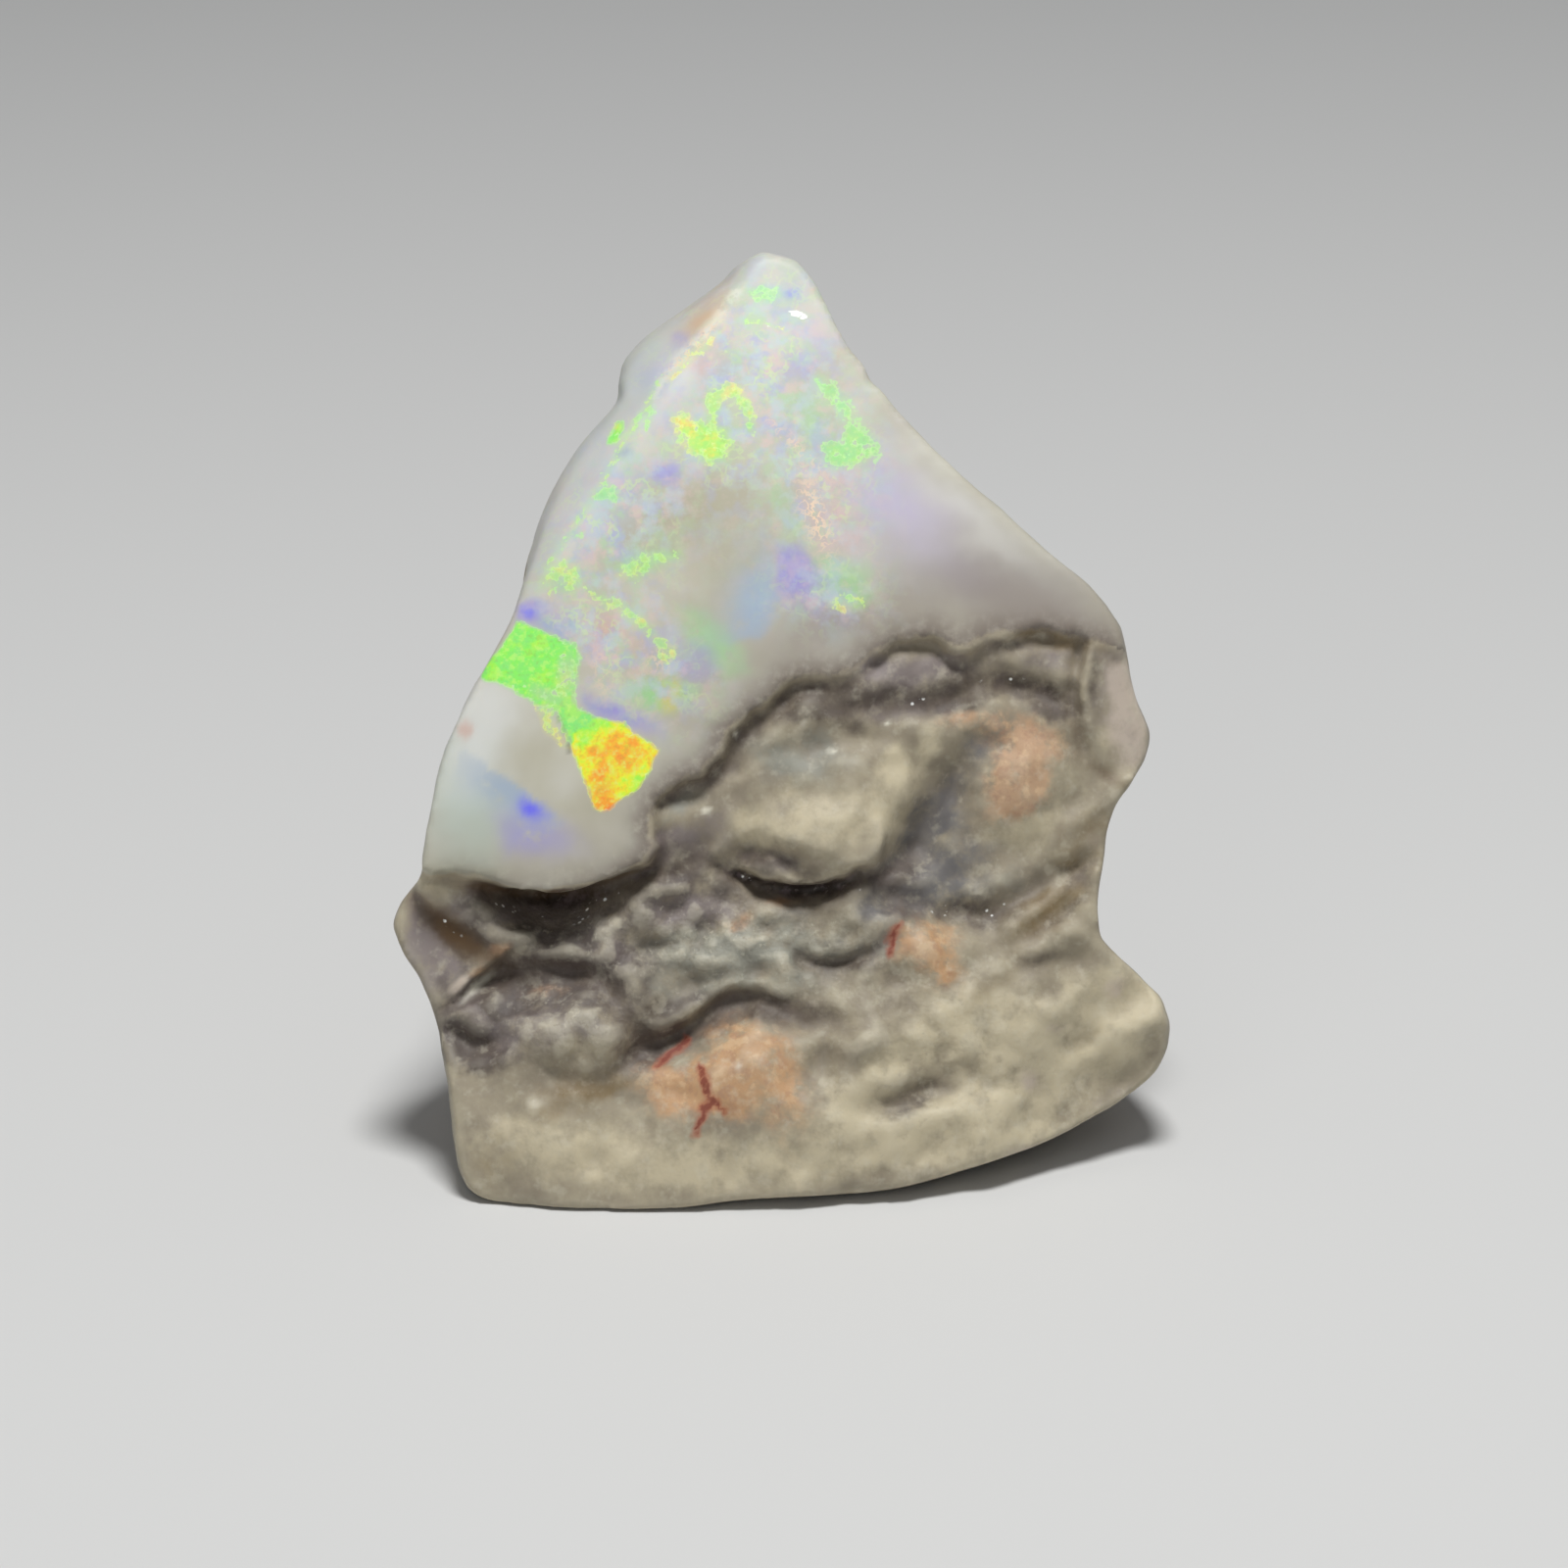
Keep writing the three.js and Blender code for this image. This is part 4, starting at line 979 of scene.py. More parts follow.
# %% Blue and violet panes
PANES = {
    "violet": [
        dict(soft=0.14, glow=[0.3, 18.1, 1.2, 0.8, -50, 1], outline=[
            [-0.15, 18.9], [0.4, 18.9], [1.6, 17.6], [1.4, 16.6], [0.3, 16.7], [-0.15, 17.3]]),
        dict(soft=0.12, glow=[-7.15, 17, 0.6, 0.35, 10, 1], outline=[
            [-7.5, 17.1], [-7, 17.5], [-6.2, 17], [-6.6, 16.5], [-7.5, 16.7]]),
        dict(soft=0.15, glow=[-4.7, 14.1, 1.4, 0.35, -22, 1], outline=[
            [-5.7, 14.9], [-5, 14.6], [-4.1, 14.3], [-3.2, 13.9], [-3.2, 13.1], [-4.3, 13.6],
            [-5.4, 13.9]]),
        dict(soft=0.25, glow=[-2.4, 15.5, 0.8, 0.6, -30, 0.5], outline=[
            [-2.95, 16.1], [-2, 16.1], [-1.6, 15.3], [-2.2, 14.8], [-3, 15]]),
        dict(soft=0.12, glow=[-3.3, 20.95, 0.5, 0.4, 0, 0.9], outline=[
            [-3.75, 21.35], [-2.8, 21.15], [-2.9, 20.5], [-3.7, 20.5]]),
        dict(soft=0.1, glow=[-4.5, 21.45, 0.3, 0.2, 0, 0.8], outline=[
            [-4.8, 21.7], [-4.2, 21.7], [-4.2, 21.2], [-4.8, 21.2]]),
        dict(soft=0.12, glow=[-2.9, 24.8, 0.4, 0.3, 0, 0.6], outline=[
            [-3.2, 25], [-2.6, 25.1], [-2.6, 24.6], [-3.2, 24.5]]),
        dict(soft=0.3, glow=[-7, 10.6, 1.2, 0.6, -10, 0.65], outline=[
            [-8.2, 11.2], [-6.9, 11.5], [-5.7, 10.9], [-5.1, 10.1], [-6.2, 9.8], [-7.8, 10]]),
        dict(soft=0.3, glow=[0.4, 24, 0.8, 0.6, 0, 0.4], outline=[
            [-0.4, 24.6], [1, 24.6], [1.1, 23.3], [-0.2, 23.4]]),
        dict(soft=0.3, glow=[-3.6, 23.8, 0.8, 0.5, 30, 0.4], outline=[
            [-4.5, 24.2], [-3, 24.6], [-2.6, 23.5], [-4, 23]])],
    "indigo": [
        dict(soft=0.25, glow=[-7.05, 11.4, 0.45, 0.3, -20, 1], outline=[
            [-7.7, 11.3], [-7.3, 11.9], [-6.6, 11.7], [-6.4, 11.1], [-7, 10.9]]),
        dict(soft=0.1, glow=[-7.2, 16.97, 0.25, 0.2, 0, 0.6], outline=[
            [-7.45, 17], [-7.2, 17.2], [-6.9, 17], [-7.1, 16.75]]),
        dict(soft=0.1, glow=[0.28, 26.2, 0.3, 0.2, 0, 0.5], outline=[
            [0, 26.4], [0.5, 26.4], [0.5, 26], [0.1, 26]])],
    "sky": [
        dict(soft=0.15, glow=[-0.7, 17.2, 1.7, 0.75, 72, 0.85], outline=[
            [-0.9, 19.8], [-0.4, 19.5], [-0.2, 18], [-0.1, 16.7], [-0.6, 16.2], [-2.2, 15.9],
            [-2.8, 17], [-1.8, 18.8]]),
        dict(soft=0.12, glow=[-6.3, 16.65, 0.8, 0.5, -20, 0.95], outline=[
            [-7, 17.2], [-5.6, 16.9], [-5.4, 16.2], [-6.15, 16.1], [-7, 16.6]]),
        dict(soft=0.08, glow=[-7.6, 11.8, 1.6, 0.7, -38, 0.75], outline=[
            [-9, 13.1], [-7.9, 12.35], [-6.6, 11.6], [-6.1, 10.9], [-7.6, 10.2], [-9.4, 10.8]]),
        dict(soft=0.25, glow=[-1.7, 23.6, 1, 0.5, 40, 0.4], outline=[
            [-2.8, 23], [-1.6, 24.3], [-0.7, 24.2], [-1.8, 22.8]]),
        dict(soft=0.3, glow=[-4.6, 20.3, 0.9, 1.2, -30, 0.4], outline=[
            [-6.2, 19], [-5, 21.4], [-3.6, 21.2], [-3.9, 19.4], [-5.2, 18.4]])],
}
print("cool panes", sum(len(panes) for panes in PANES.values()))

# %% Green and warm panes
PANES.update({
    "leaf": [
        dict(soft=0.2, glow=[1.6, 18, 0.9, 0.5, -20, 0.6], outline=[
            [1, 18.8], [2.1, 18.5], [3, 17.9], [2.7, 17.3], [1.5, 17.2], [0.8, 17.9]]),
        dict(soft=0.12, glow=[0.2, 19.8, 1.4, 0.35, -58, 0.5], outline=[
            [-0.5, 21], [0.2, 21], [1, 19.2], [1.1, 18.3], [0.5, 18.4], [-0.2, 19.6]]),
        dict(soft=0.25, glow=[0.8, 22.6, 1.1, 0.7, -60, 0.6], outline=[
            [0, 23.7], [0.9, 23.5], [1.7, 22.2], [1.3, 21.5], [0.5, 21.2], [-0.2, 22.2]]),
        dict(soft=0.3, glow=[-3.5, 14.6, 1.1, 0.5, 5, 1], outline=[
            [-4.6, 15.2], [-3, 15.4], [-2.2, 14.6], [-2.8, 13.9], [-4.2, 14.1]]),
        dict(soft=0.25, glow=[-3.9, 18.3, 1.1, 0.5, 15, 0.55], outline=[
            [-5.1, 18.8], [-3.6, 19.1], [-2.5, 18.9], [-3.2, 18], [-4.9, 17.6]]),
        dict(soft=0.25, glow=[-2, 16.1, 1.4, 0.6, -48, 0.75], outline=[
            [-3.2, 17.1], [-2.1, 17.2], [-1, 15.9], [-0.8, 15.2], [-1.6, 14.9], [-2.6, 15.9]]),
        dict(soft=0.25, glow=[1.9, 17.6, 1, 0.5, -25, 0.6], outline=[
            [0.9, 18.4], [2.1, 18.3], [2.9, 17.6], [2.3, 17], [1.2, 17.2]]),
        dict(soft=0.25, glow=[-0.5, 26.1, 0.9, 0.4, 10, 0.5], outline=[
            [-1.5, 26.5], [-0.2, 26.7], [0.6, 26], [-0.3, 25.5], [-1.4, 25.7]]),
        dict(soft=0.3, glow=[-1.9, 21.9, 1, 1.2, 0, 0.4], outline=[
            [-3.4, 22.8], [-1.8, 23.8], [-0.4, 23.2], [-0.4, 21.8], [-2, 20.9], [-3.2, 21.4]])],
    "amber": [
        dict(soft=0.2, glow=[-3.05, 14.5, 0.35, 0.6, 0, 1], outline=[
            [-3.5, 15], [-2.9, 15.1], [-2.7, 14.5], [-3, 14], [-3.5, 14.1]])],
    "rose": [
        dict(soft=0.25, glow=[1.3, 19.6, 1.2, 0.7, -60, 0.55], outline=[
            [0.4, 20.9], [1.3, 20.6], [2.4, 20], [2.3, 18.9], [1.4, 18.3], [0.9, 18.5], [0.5, 19.5]]),
        dict(soft=0.2, glow=[-4.9, 16.3, 0.5, 0.9, 0, 0.8], outline=[
            [-5.4, 17], [-4.5, 16.9], [-4.2, 16.1], [-4.9, 15.2], [-5.6, 15.3]]),
        dict(soft=0.3, glow=[-4.1, 15.8, 0.8, 0.5, -50, 0.4], outline=[
            [-4.6, 16.6], [-3.5, 16.2], [-3, 15.2], [-4.2, 15], [-4.9, 15.4]]),
        dict(soft=0.12, glow=[-8.9, 13.6, 0.3, 0.35, 0, 0.8], outline=[
            [-9.2, 13.7], [-8.85, 14], [-8.6, 13.6], [-8.9, 13.2]]),
        dict(soft=0.15, glow=[-2.2, 24, 0.35, 0.35, 0, 0.7], outline=[
            [-2.6, 24.2], [-2.1, 24.4], [-1.8, 23.8], [-2.3, 23.6]]),
        dict(soft=0.1, glow=[0.8, 26.3, 0.2, 0.2, 0, 0.8], outline=[
            [0.65, 26.5], [0.95, 26.4], [0.95, 26.1], [0.65, 26.2]]),
        dict(soft=0.1, glow=[1.6, 24.5, 0.2, 0.25, 0, 0.7], outline=[
            [1.45, 24.7], [1.75, 24.6], [1.75, 24.3], [1.45, 24.4]])],
})
print("all panes", sum(len(panes) for panes in PANES.values()))


# %% Pane masks
def pane_mask(panes, places):
    """Where the panes of one colour glow: inside the outline, and near its brightest place."""
    rest = np.ones(len(places))
    for pane in panes:
        edge = smooth_step(-pane["soft"], pane["soft"], inside(places, pane["outline"]))
        rest *= 1 - edge * spots([pane["glow"]], places)
    return 1 - rest


for name, panes in PANES.items():
    store(name, pane_mask(panes, near_uv))
print("pane colours", list(PANES))

# %% Rosy threads and a slit
ROSY = [
    [0.95, 19.7, 0.35, 1.1, 18, 1], [-3.4, 15.6, 0.5, 0.3, 40, 0.6], [-5, 15.4, 0.3, 0.9, 0, 0.4],
    [0.3, 21.8, 0.15, 1.4, 45, 0.6], [-2.6, 24.5, 1.3, 0.15, 48, 0.8],
]
SLIT = [[-6.3, 14.05], [-6.1, 13.75], [-6, 13.4], [-5.95, 13]]
store("rose_threads", spots(ROSY, uv))
store("slit", np.exp(-((nearest_on_line(uv, SLIT)[0] / 0.06) ** 2)))
print("threads", len(ROSY))

# %% [markdown]
# ## Patches of fire
# The strongest colours have sharp edges, because each patch is one grain of regularly stacked silica. A
# patch is an outline, how solid it is (a low value leaves it lacy), how wide its edge is, and how warm
# its colour is: 0 is green, a half is yellow and 1 is orange.

# %% Large patches
PATCHES = {
    "sheaf": dict(solid=0.96, edge=0.1, warm=0.14, outline=[
        [-7.45, 16.75], [-6.5, 16.3], [-5.8, 16.05], [-5.6, 15.6], [-5.7, 15], [-5.8, 14.5],
        [-5.65, 14.2], [-5.2, 13.95], [-5.3, 13.2], [-5.95, 13.2], [-6.15, 13.8], [-6.45, 14.15],
        [-6.8, 14.2], [-7.35, 14.55], [-7.95, 14.9], [-8.45, 15], [-8.6, 15.3], [-8, 15.85]]),
    "fan": dict(solid=1, edge=0.11, warm=0.57, outline=[
        [-5.5, 13.9], [-5.15, 14], [-4.65, 13.8], [-4.4, 13.85], [-4.1, 13.5], [-3.7, 13.25],
        [-3.4, 13], [-3.65, 12.5], [-3.95, 11.95], [-4.45, 11.65], [-4.95, 11.3], [-5.25, 11.4],
        [-5.45, 11.95], [-5.75, 12.65], [-5.95, 13.1], [-5.95, 13.5]]),
    "frayed strip": dict(solid=0.62, edge=0.15, warm=0.5, outline=[
        [-7, 14.3], [-6.5, 14.2], [-6.3, 13.8], [-6.1, 13.4], [-5.95, 13], [-6.2, 13.1], [-6.7, 13.5]]),
    "right sheaf": dict(solid=0.66, edge=0.25, warm=0.12, outline=[
        [1, 23.95], [1.5, 23.65], [2, 23.05], [2.3, 22.45], [2.8, 21.85], [2.9, 21.35], [2.3, 21.1],
        [1.5, 20.9], [1.2, 21.1], [1.05, 21.75], [1.6, 21.95], [1.75, 22.3], [1.4, 22.75], [1, 23.25],
        [0.85, 23.65]]),
    "crown ring": dict(solid=0.64, edge=0.16, warm=0.36, outline=[
        [-2.1, 23.4], [-1.7, 23.6], [-1.2, 23.5], [-0.9, 23.1], [-0.7, 22.6], [-0.7, 22], [-1, 22],
        [-1.15, 22.6], [-1.35, 23], [-1.7, 22.95], [-1.75, 22.5], [-1.9, 22.1], [-2.2, 22.5],
        [-2.3, 22.9]]),
    "crown patch": dict(solid=0.7, edge=0.22, warm=0.4, outline=[
        [-3.25, 22.65], [-2.7, 22.7], [-2.4, 22.5], [-2, 22.4], [-1.6, 22.2], [-1.35, 21.8],
        [-1.6, 21.2], [-2.1, 21.1], [-2.5, 21.35], [-2.8, 21.6], [-3.1, 22.1]]),
}
print("large patches", list(PATCHES))

# %% Small patches and flecks
PATCHES.update({
    "edge patch": dict(solid=0.75, edge=0.1, warm=0.18, outline=[
        [-5, 22], [-4.8, 22.4], [-4.5, 22.5], [-4.5, 22.1], [-4.7, 21.7], [-5, 21.7]]),
    "edge streak": dict(solid=0.56, edge=0.12, warm=0.2, outline=[
        [-3.95, 22.5], [-3.7, 22.95], [-3.5, 22.9], [-3.65, 22.3], [-3.9, 21.9]]),
    "curl": dict(solid=0.62, edge=0.12, warm=0.12, outline=[
        [-5.3, 20.4], [-5, 20.75], [-4.6, 20.5], [-4.6, 20], [-4.95, 20.1], [-5.3, 20.1]]),
    "two dots": dict(solid=0.64, edge=0.1, warm=0.1, outline=[
        [-5.9, 19.1], [-5.55, 19.4], [-5.5, 19.15], [-5.8, 19]]),
    "apex greens": dict(solid=0.56, edge=0.15, warm=0.05, outline=[
        [-1.1, 26.3], [-0.5, 26.45], [-0.1, 26.4], [0.1, 26.1], [-0.2, 25.85], [-0.7, 25.85],
        [-0.95, 26]]),
    "upper dashes": dict(solid=0.62, edge=0.1, warm=0.4, outline=[
        [-1.1, 25.45], [-0.5, 25.35], [0.1, 25.15], [0.1, 25], [-0.5, 25.2], [-1.1, 25.3]]),
    "soft middle": dict(solid=0.56, edge=0.25, warm=0.3, outline=[
        [-4.8, 18.3], [-4.3, 18.6], [-3.6, 18.75], [-2.8, 18.75], [-2.8, 18.45], [-3.5, 18.2],
        [-4, 17.8], [-4.7, 17.8]]),
    "left flecks": dict(solid=0.54, edge=0.25, warm=0.34, outline=[
        [-6.8, 18.4], [-6.1, 18.6], [-5.6, 18.2], [-5.5, 17.5], [-6.3, 17.3], [-6.9, 17.6]]),
    "trail": dict(solid=0.57, edge=0.18, warm=0.36, outline=[
        [-5.4, 17.6], [-4.6, 17.3], [-4, 17], [-3.5, 16.4], [-3, 15.95], [-2.85, 15.75], [-3.3, 15.3],
        [-3.5, 15.6], [-3.6, 16], [-4.2, 16.45], [-4.8, 17], [-5.4, 17.3]]),
    "right flecks": dict(solid=0.42, edge=0.2, warm=0.45, outline=[
        [1, 17.3], [1.9, 17.6], [2.7, 17.3], [2.5, 16.9], [1.8, 16.8], [1.2, 17]]),
    "fold flecks": dict(solid=0.44, edge=0.16, warm=0.3, outline=[
        [-3.1, 24.1], [-3.5, 23.3], [-3.6, 22.7], [-4.3, 21.8], [-4.9, 20.6], [-5.65, 19.3], [-6.4, 18.2],
        [-6.75, 18.4], [-6, 19.5], [-5.25, 20.8], [-4.7, 21.9], [-4, 22.9], [-3.7, 23.7]]),
    "bevel edge flecks": dict(solid=0.46, edge=0.15, warm=0.5, outline=[
        [-3.4, 23.8], [-2.6, 24.6], [-1.7, 25.2], [-1.3, 25.3], [-2.2, 24.3], [-3.2, 23.4]]),
})
print("all patches", len(PATCHES))

# %% [markdown]
# ## Patch masks
# For every vertex two numbers are kept: how much fire is there, and how warm it is. The fire number
# falls evenly across the edge of an outline, and the shader turns that slope into lace. Inside a patch
# the colour drifts, so a few soft spots make it warmer or cooler, and others thin it out.

# %% Patch masks
WARMER = [
    [-4.6, 13, 0.2, 0.8, 0.5, -15], [-5, 11.8, 0.25, 0.3, 0.6, 10],
    [-5.5, 13.8, -0.42, 0.5, 0.45, -30], [-5.7, 12.8, -0.1, 0.2, 0.8, 12],
    [-4, 12.1, -0.25, 0.5, 0.35, 45], [-4.9, 13.8, -0.1, 0.5, 0.15, -20],
    [-6.2, 15, 0.12, 0.7, 0.7, -30], [-2.9, 22.4, 0.12, 0.35, 0.25, 0], [-1.3, 23.4, 0.2, 0.6, 0.3, 0],
    [-4.85, 22.35, 0.4, 0.12, 0.12, 0], [-3.1, 14.5, 0.2, 0.3, 0.3, 0],
]
THINNER = [
    [-6, 15.2, 0.45, 0.8, 0, 0.42], [-6.7, 14.6, 0.7, 0.3, -30, 0.35], [1.5, 22.7, 0.5, 0.5, 0, 0.1],
]
patch_uv = uv + 0.7 * fine_wander
fire = np.zeros(len(points))
warm = np.zeros(len(points))
for patch in PATCHES.values():
    depth_in = inside(patch_uv, patch["outline"])
    cover = patch["solid"] * np.clip(0.5 + depth_in / (2 * patch["edge"]), 0, 1)
    warm = np.where(cover > fire, patch["warm"], warm)
    fire = np.maximum(fire, cover)
warm = add_bumps(warm, patch_uv, WARMER)
store("fire", fire * (1 - spots(THINNER, patch_uv)) * on_front)
store("warm", warm)
print("share on fire", round(float((fire > 0.5).mean()), 3))

# %% [markdown]
# ## The finish
# One shader covers the whole stone, because opal and potch are the same silica. Its colour is laid down
# in coats, from the body up to the fire, each coat held back by one mask and broken up by fine noise.
# Two materials with a seam between them would be simpler, but here the one runs into the other. A few
# helpers keep the coats short to write: each adds a node and gives back its output.

# %% Colours, values and masks
finish = bpy.data.materials.new("opal and potch")
finish.use_nodes = True
tree = finish.node_tree
shader = tree.nodes["Principled BSDF"]


def linear(red, green, blue):
    """A colour as it looks on a chart (0 to 255), turned into the linear light that a shader uses."""
    return tuple(((channel / 255 + 0.055) / 1.055) ** 2.4 for channel in (red, green, blue))


def connect(value, socket):
    """Links an output to the socket, or sets a colour or a number on it."""
    if isinstance(value, bpy.types.NodeSocket):
        tree.links.new(value, socket)
    elif isinstance(value, tuple):
        socket.default_value = (*value, 1)
    else:
        socket.default_value = value


def mask(name):
    """The number kept at the vertices under this name."""
    node = tree.nodes.new("ShaderNodeAttribute")
    node.attribute_name = name
    return node.outputs["Fac"]


print("white is", linear(255, 255, 255), "and middle grey", linear(128, 128, 128)[0])


# %% Sums and coats
def calculate(operation, a, b=0.0, c=0.0):
    """One sum, worked out at every point of the surface."""
    node = tree.nodes.new("ShaderNodeMath")
    node.operation = operation
    for value, socket in zip((a, b, c), node.inputs):
        connect(value, socket)
    return node.outputs[0]


def times(a, b):
    return calculate("MULTIPLY", a, b)


def between(low, high, value):
    """0 at the low value, 1 at the high one, and smooth between them."""
    node = tree.nodes.new("ShaderNodeMapRange")
    node.interpolation_type = "SMOOTHSTEP"
    connect(value, node.inputs["Value"])
    node.inputs["From Min"].default_value = low
    node.inputs["From Max"].default_value = high
    return node.outputs["Result"]


def coat(under, over, amount):
    """Lays one colour over another, as thick as the amount says."""
    node = tree.nodes.new("ShaderNodeMix")
    node.data_type = "RGBA"
    connect(amount, node.inputs["Factor"])
    connect(under, node.inputs["A"])
    connect(over, node.inputs["B"])
    return node.outputs["Result"]


def coats(under, layers):
    """Lays several named coats in order. Each has a colour and an amount."""
    for colour, amount in layers.values():
        under = coat(under, colour, amount)
    print("coats:", ", ".join(layers))
    return under


print("ready for", finish.name)

# %% Noise in millimetres
place = tree.nodes.new("ShaderNodeTexCoord")
enlarge = tree.nodes.new("ShaderNodeVectorMath")
enlarge.operation = "SCALE"
enlarge.inputs["Scale"].default_value = 1 / MM
tree.links.new(place.outputs["Object"], enlarge.inputs[0])
in_mm = enlarge.outputs["Vector"]


def speckle(size, detail=3.0, seed=0.0):
    """Noise from 0 to 1 with blotches of the given size in millimetres."""
    node = tree.nodes.new("ShaderNodeTexNoise")
    node.noise_dimensions = "4D"
    node.inputs["W"].default_value = seed
    node.inputs["Scale"].default_value = 1 / size
    node.inputs["Detail"].default_value = detail
    node.inputs["Roughness"].default_value = 0.6
    tree.links.new(in_mm, node.inputs["Vector"])
    return node.outputs["Fac"]


def threads(size, seed):
    """Thin winding lines: 1 where a noise crosses its middle value, and 0 elsewhere."""
    crossing = calculate("ABSOLUTE", calculate("SUBTRACT", speckle(size, 2.0, seed), 0.5))
    return between(0.05, 0.015, crossing)


def cells(size):
    """Cells of the given size in millimetres: the distance from the middle of each, and its own value."""
    node = tree.nodes.new("ShaderNodeTexVoronoi")
    node.inputs["Scale"].default_value = 1 / size
    tree.links.new(in_mm, node.inputs["Vector"])
    return node.outputs["Distance"], node.outputs["Color"]


print("helper nodes", len(tree.nodes))

# %% [markdown]
# ## Potch
# Potch is a dull grey-brown, mottled at the scale of a millimetre. The base is two close greys mixed by
# soft noise. Each stain is then a coat whose edge is made ragged: its mask is multiplied by noise, so
# the noise matters where the stain is and does nothing where it is not.

# %% Potch colour
mottle = speckle(1.5, 4)
grit = speckle(0.25, 3, 2)
fine_grit = calculate("SUBTRACT", grit, 0.5)
cloudy = calculate("SUBTRACT", speckle(0.7, 3, 61), 0.5)
potch = coat(linear(144, 134, 116), linear(164, 154, 132), between(0.35, 0.65, mottle))
potch = coat(potch, linear(184, 176, 152), times(between(0.5, 0.7, speckle(0.7, 3, 6)), 0.35))
STAIN_COATS = {
    "ash": (linear(146, 148, 138), 0.75, 2.4), "cream": (linear(204, 193, 164), 0.85, 2.0),
    "moss": (linear(124, 104, 68), 0.8, 2.4), "mauve": (linear(134, 124, 124), 0.85, 2.4),
    "slate": (linear(100, 100, 104), 0.85, 2.4), "umber_and_shade": (linear(78, 67, 60), 0.85, 2.4),
    "smoke_and_shade": (linear(92, 84, 80), 0.8, 2.4), "peach": (linear(192, 158, 126), 0.95, 3.8),
    "apricot": (linear(198, 156, 114), 0.85, 3.4), "shell": (linear(206, 192, 178), 0.9, 1.5),
}
for name, (colour, strength, ragged) in STAIN_COATS.items():
    gritty = calculate("MULTIPLY_ADD", fine_grit, 0.3 * ragged, 1)
    noise_here = calculate("MULTIPLY_ADD", cloudy, ragged, gritty)
    potch = coat(potch, colour, times(between(0.12, 0.85, times(mask(name), noise_here)), strength))
print("stain coats done, nodes", len(tree.nodes))

# %% Pits, grains and grit
peachy = calculate("MAXIMUM", mask("peach"), mask("apricot"))
pale_peach = between(0.5, 0.64, speckle(0.35, 3, 71))
dark_peach = between(0.5, 0.64, speckle(0.4, 3, 72))
grainy = calculate("MULTIPLY_ADD", mask("grainy"), 0.8, 0.2)
between_grains = between(0.0, 0.02, mask("grain_pit"))
grain_tops = between(-0.002, -0.02, mask("grain_pit"))
# Pits and the gaps between grains are painted darker as painted shade, and swells and grain tops are
# painted lighter as painted highlight.
potch = coats(potch, {
    "pale peach": (linear(218, 188, 150), times(peachy, times(pale_peach, 0.6))),
    "dark peach": (linear(164, 124, 104), times(peachy, times(dark_peach, 0.45))),
    "painted shade in pits": (linear(108, 97, 85), times(between(0.0, 0.2, mask("pit")), 0.25)),
    "painted highlight on swells": (linear(204, 196, 172), times(between(-0.02, -0.2, mask("pit")), 0.2)),
    "painted shade between grains": (linear(90, 79, 68), times(between_grains, times(grainy, 0.3))),
    "painted highlight on grain tops": (linear(222, 216, 196), times(grain_tops, times(grainy, 0.3))),
    "pale grit": (linear(218, 212, 190), times(between(0.58, 0.72, grit), times(grainy, 0.38))),
    "dark grit": (linear(104, 93, 81), times(between(0.42, 0.3, grit), times(grainy, 0.3))),
    "brown clouds": (linear(116, 108, 90), times(between(0.5, 0.7, speckle(0.6, 3, 51)), 0.16)),
    "cream clouds": (linear(206, 200, 180), times(between(0.52, 0.7, speckle(0.45, 3, 52)), 0.28)),
})

# %% Grooves, veins and gold
groove_mask = mask("groove")
shaded = calculate("MULTIPLY_ADD", fine_grit, 0.4, mask("shade"))
in_groove = calculate("MULTIPLY_ADD", fine_grit, 0.5, groove_mask)
groove_clouds = between(0.48, 0.62, speckle(0.5, 3, 17))
groove_grit = between(0.56, 0.68, speckle(0.2, 2, 18))
jitter = calculate("SUBTRACT", speckle(0.12, 2, 62), 0.5)
vein = calculate("MULTIPLY_ADD", jitter, 0.1, mask("from_vein"))
# The grooves and the bands round them are painted dark: partly dark potch, partly painted shade.
potch = coats(potch, {
    "shade under a ledge": (linear(88, 76, 67), times(between(0.0, 1.0, shaded), 0.7)),
    "dark potch and painted shade in a groove": (linear(46, 35, 28), between(0.1, 0.8, in_groove)),
    "mauve in a groove": (linear(104, 91, 92), times(groove_mask, groove_clouds)),
    "grit in a groove": (linear(150, 138, 130), times(groove_mask, times(groove_grit, 0.5))),
    "chalk_and_glints": (linear(236, 232, 214), mask("chalk_and_glints")),
    "rust round a vein": (linear(168, 92, 66), times(between(0.22, 0.04, vein), 0.7)),
    "vein": (linear(122, 52, 40), times(between(0.1, 0.03, vein), 0.75)),
    "gold": (linear(88, 64, 32), times(mask("gold"), 0.95)),
})
print("potch done, nodes", len(tree.nodes))

# %% [markdown]
# ## Sides and back
# The back of a rub is host rock and weathered skin: sandy brown, with rusty patches and paler hollows.
# No drawn masks are needed, because the pits and the direction that the surface faces already say where
# to lay each colour. Bands of grey potch show through at the sides.

# %% Sides and back
host_noise = speckle(3.0, 4, 21)
backing = coats(linear(124, 110, 92), {
    "sandy rock": (linear(160, 142, 114), between(0.35, 0.65, host_noise)),
    "rust": (linear(112, 74, 48), times(between(0.55, 0.66, speckle(2.2, 4, 22)), 0.75)),
    "pale hollows": (linear(198, 186, 160), times(between(0.03, 0.12, mask("pit")), 0.55)),
})
behind = calculate("MULTIPLY_ADD", host_noise, 0.5, mask("back"))
band = between(0.45, 0.6, speckle(1.2, 3, 23))
potch = coats(potch, {
    "host rock": (backing, times(between(0.3, 0.6, behind), 0.85)),
    "grey bands": (linear(120, 116, 112), times(mask("side"), times(band, 0.6))),
})
print("sides and back done, nodes", len(tree.nodes))
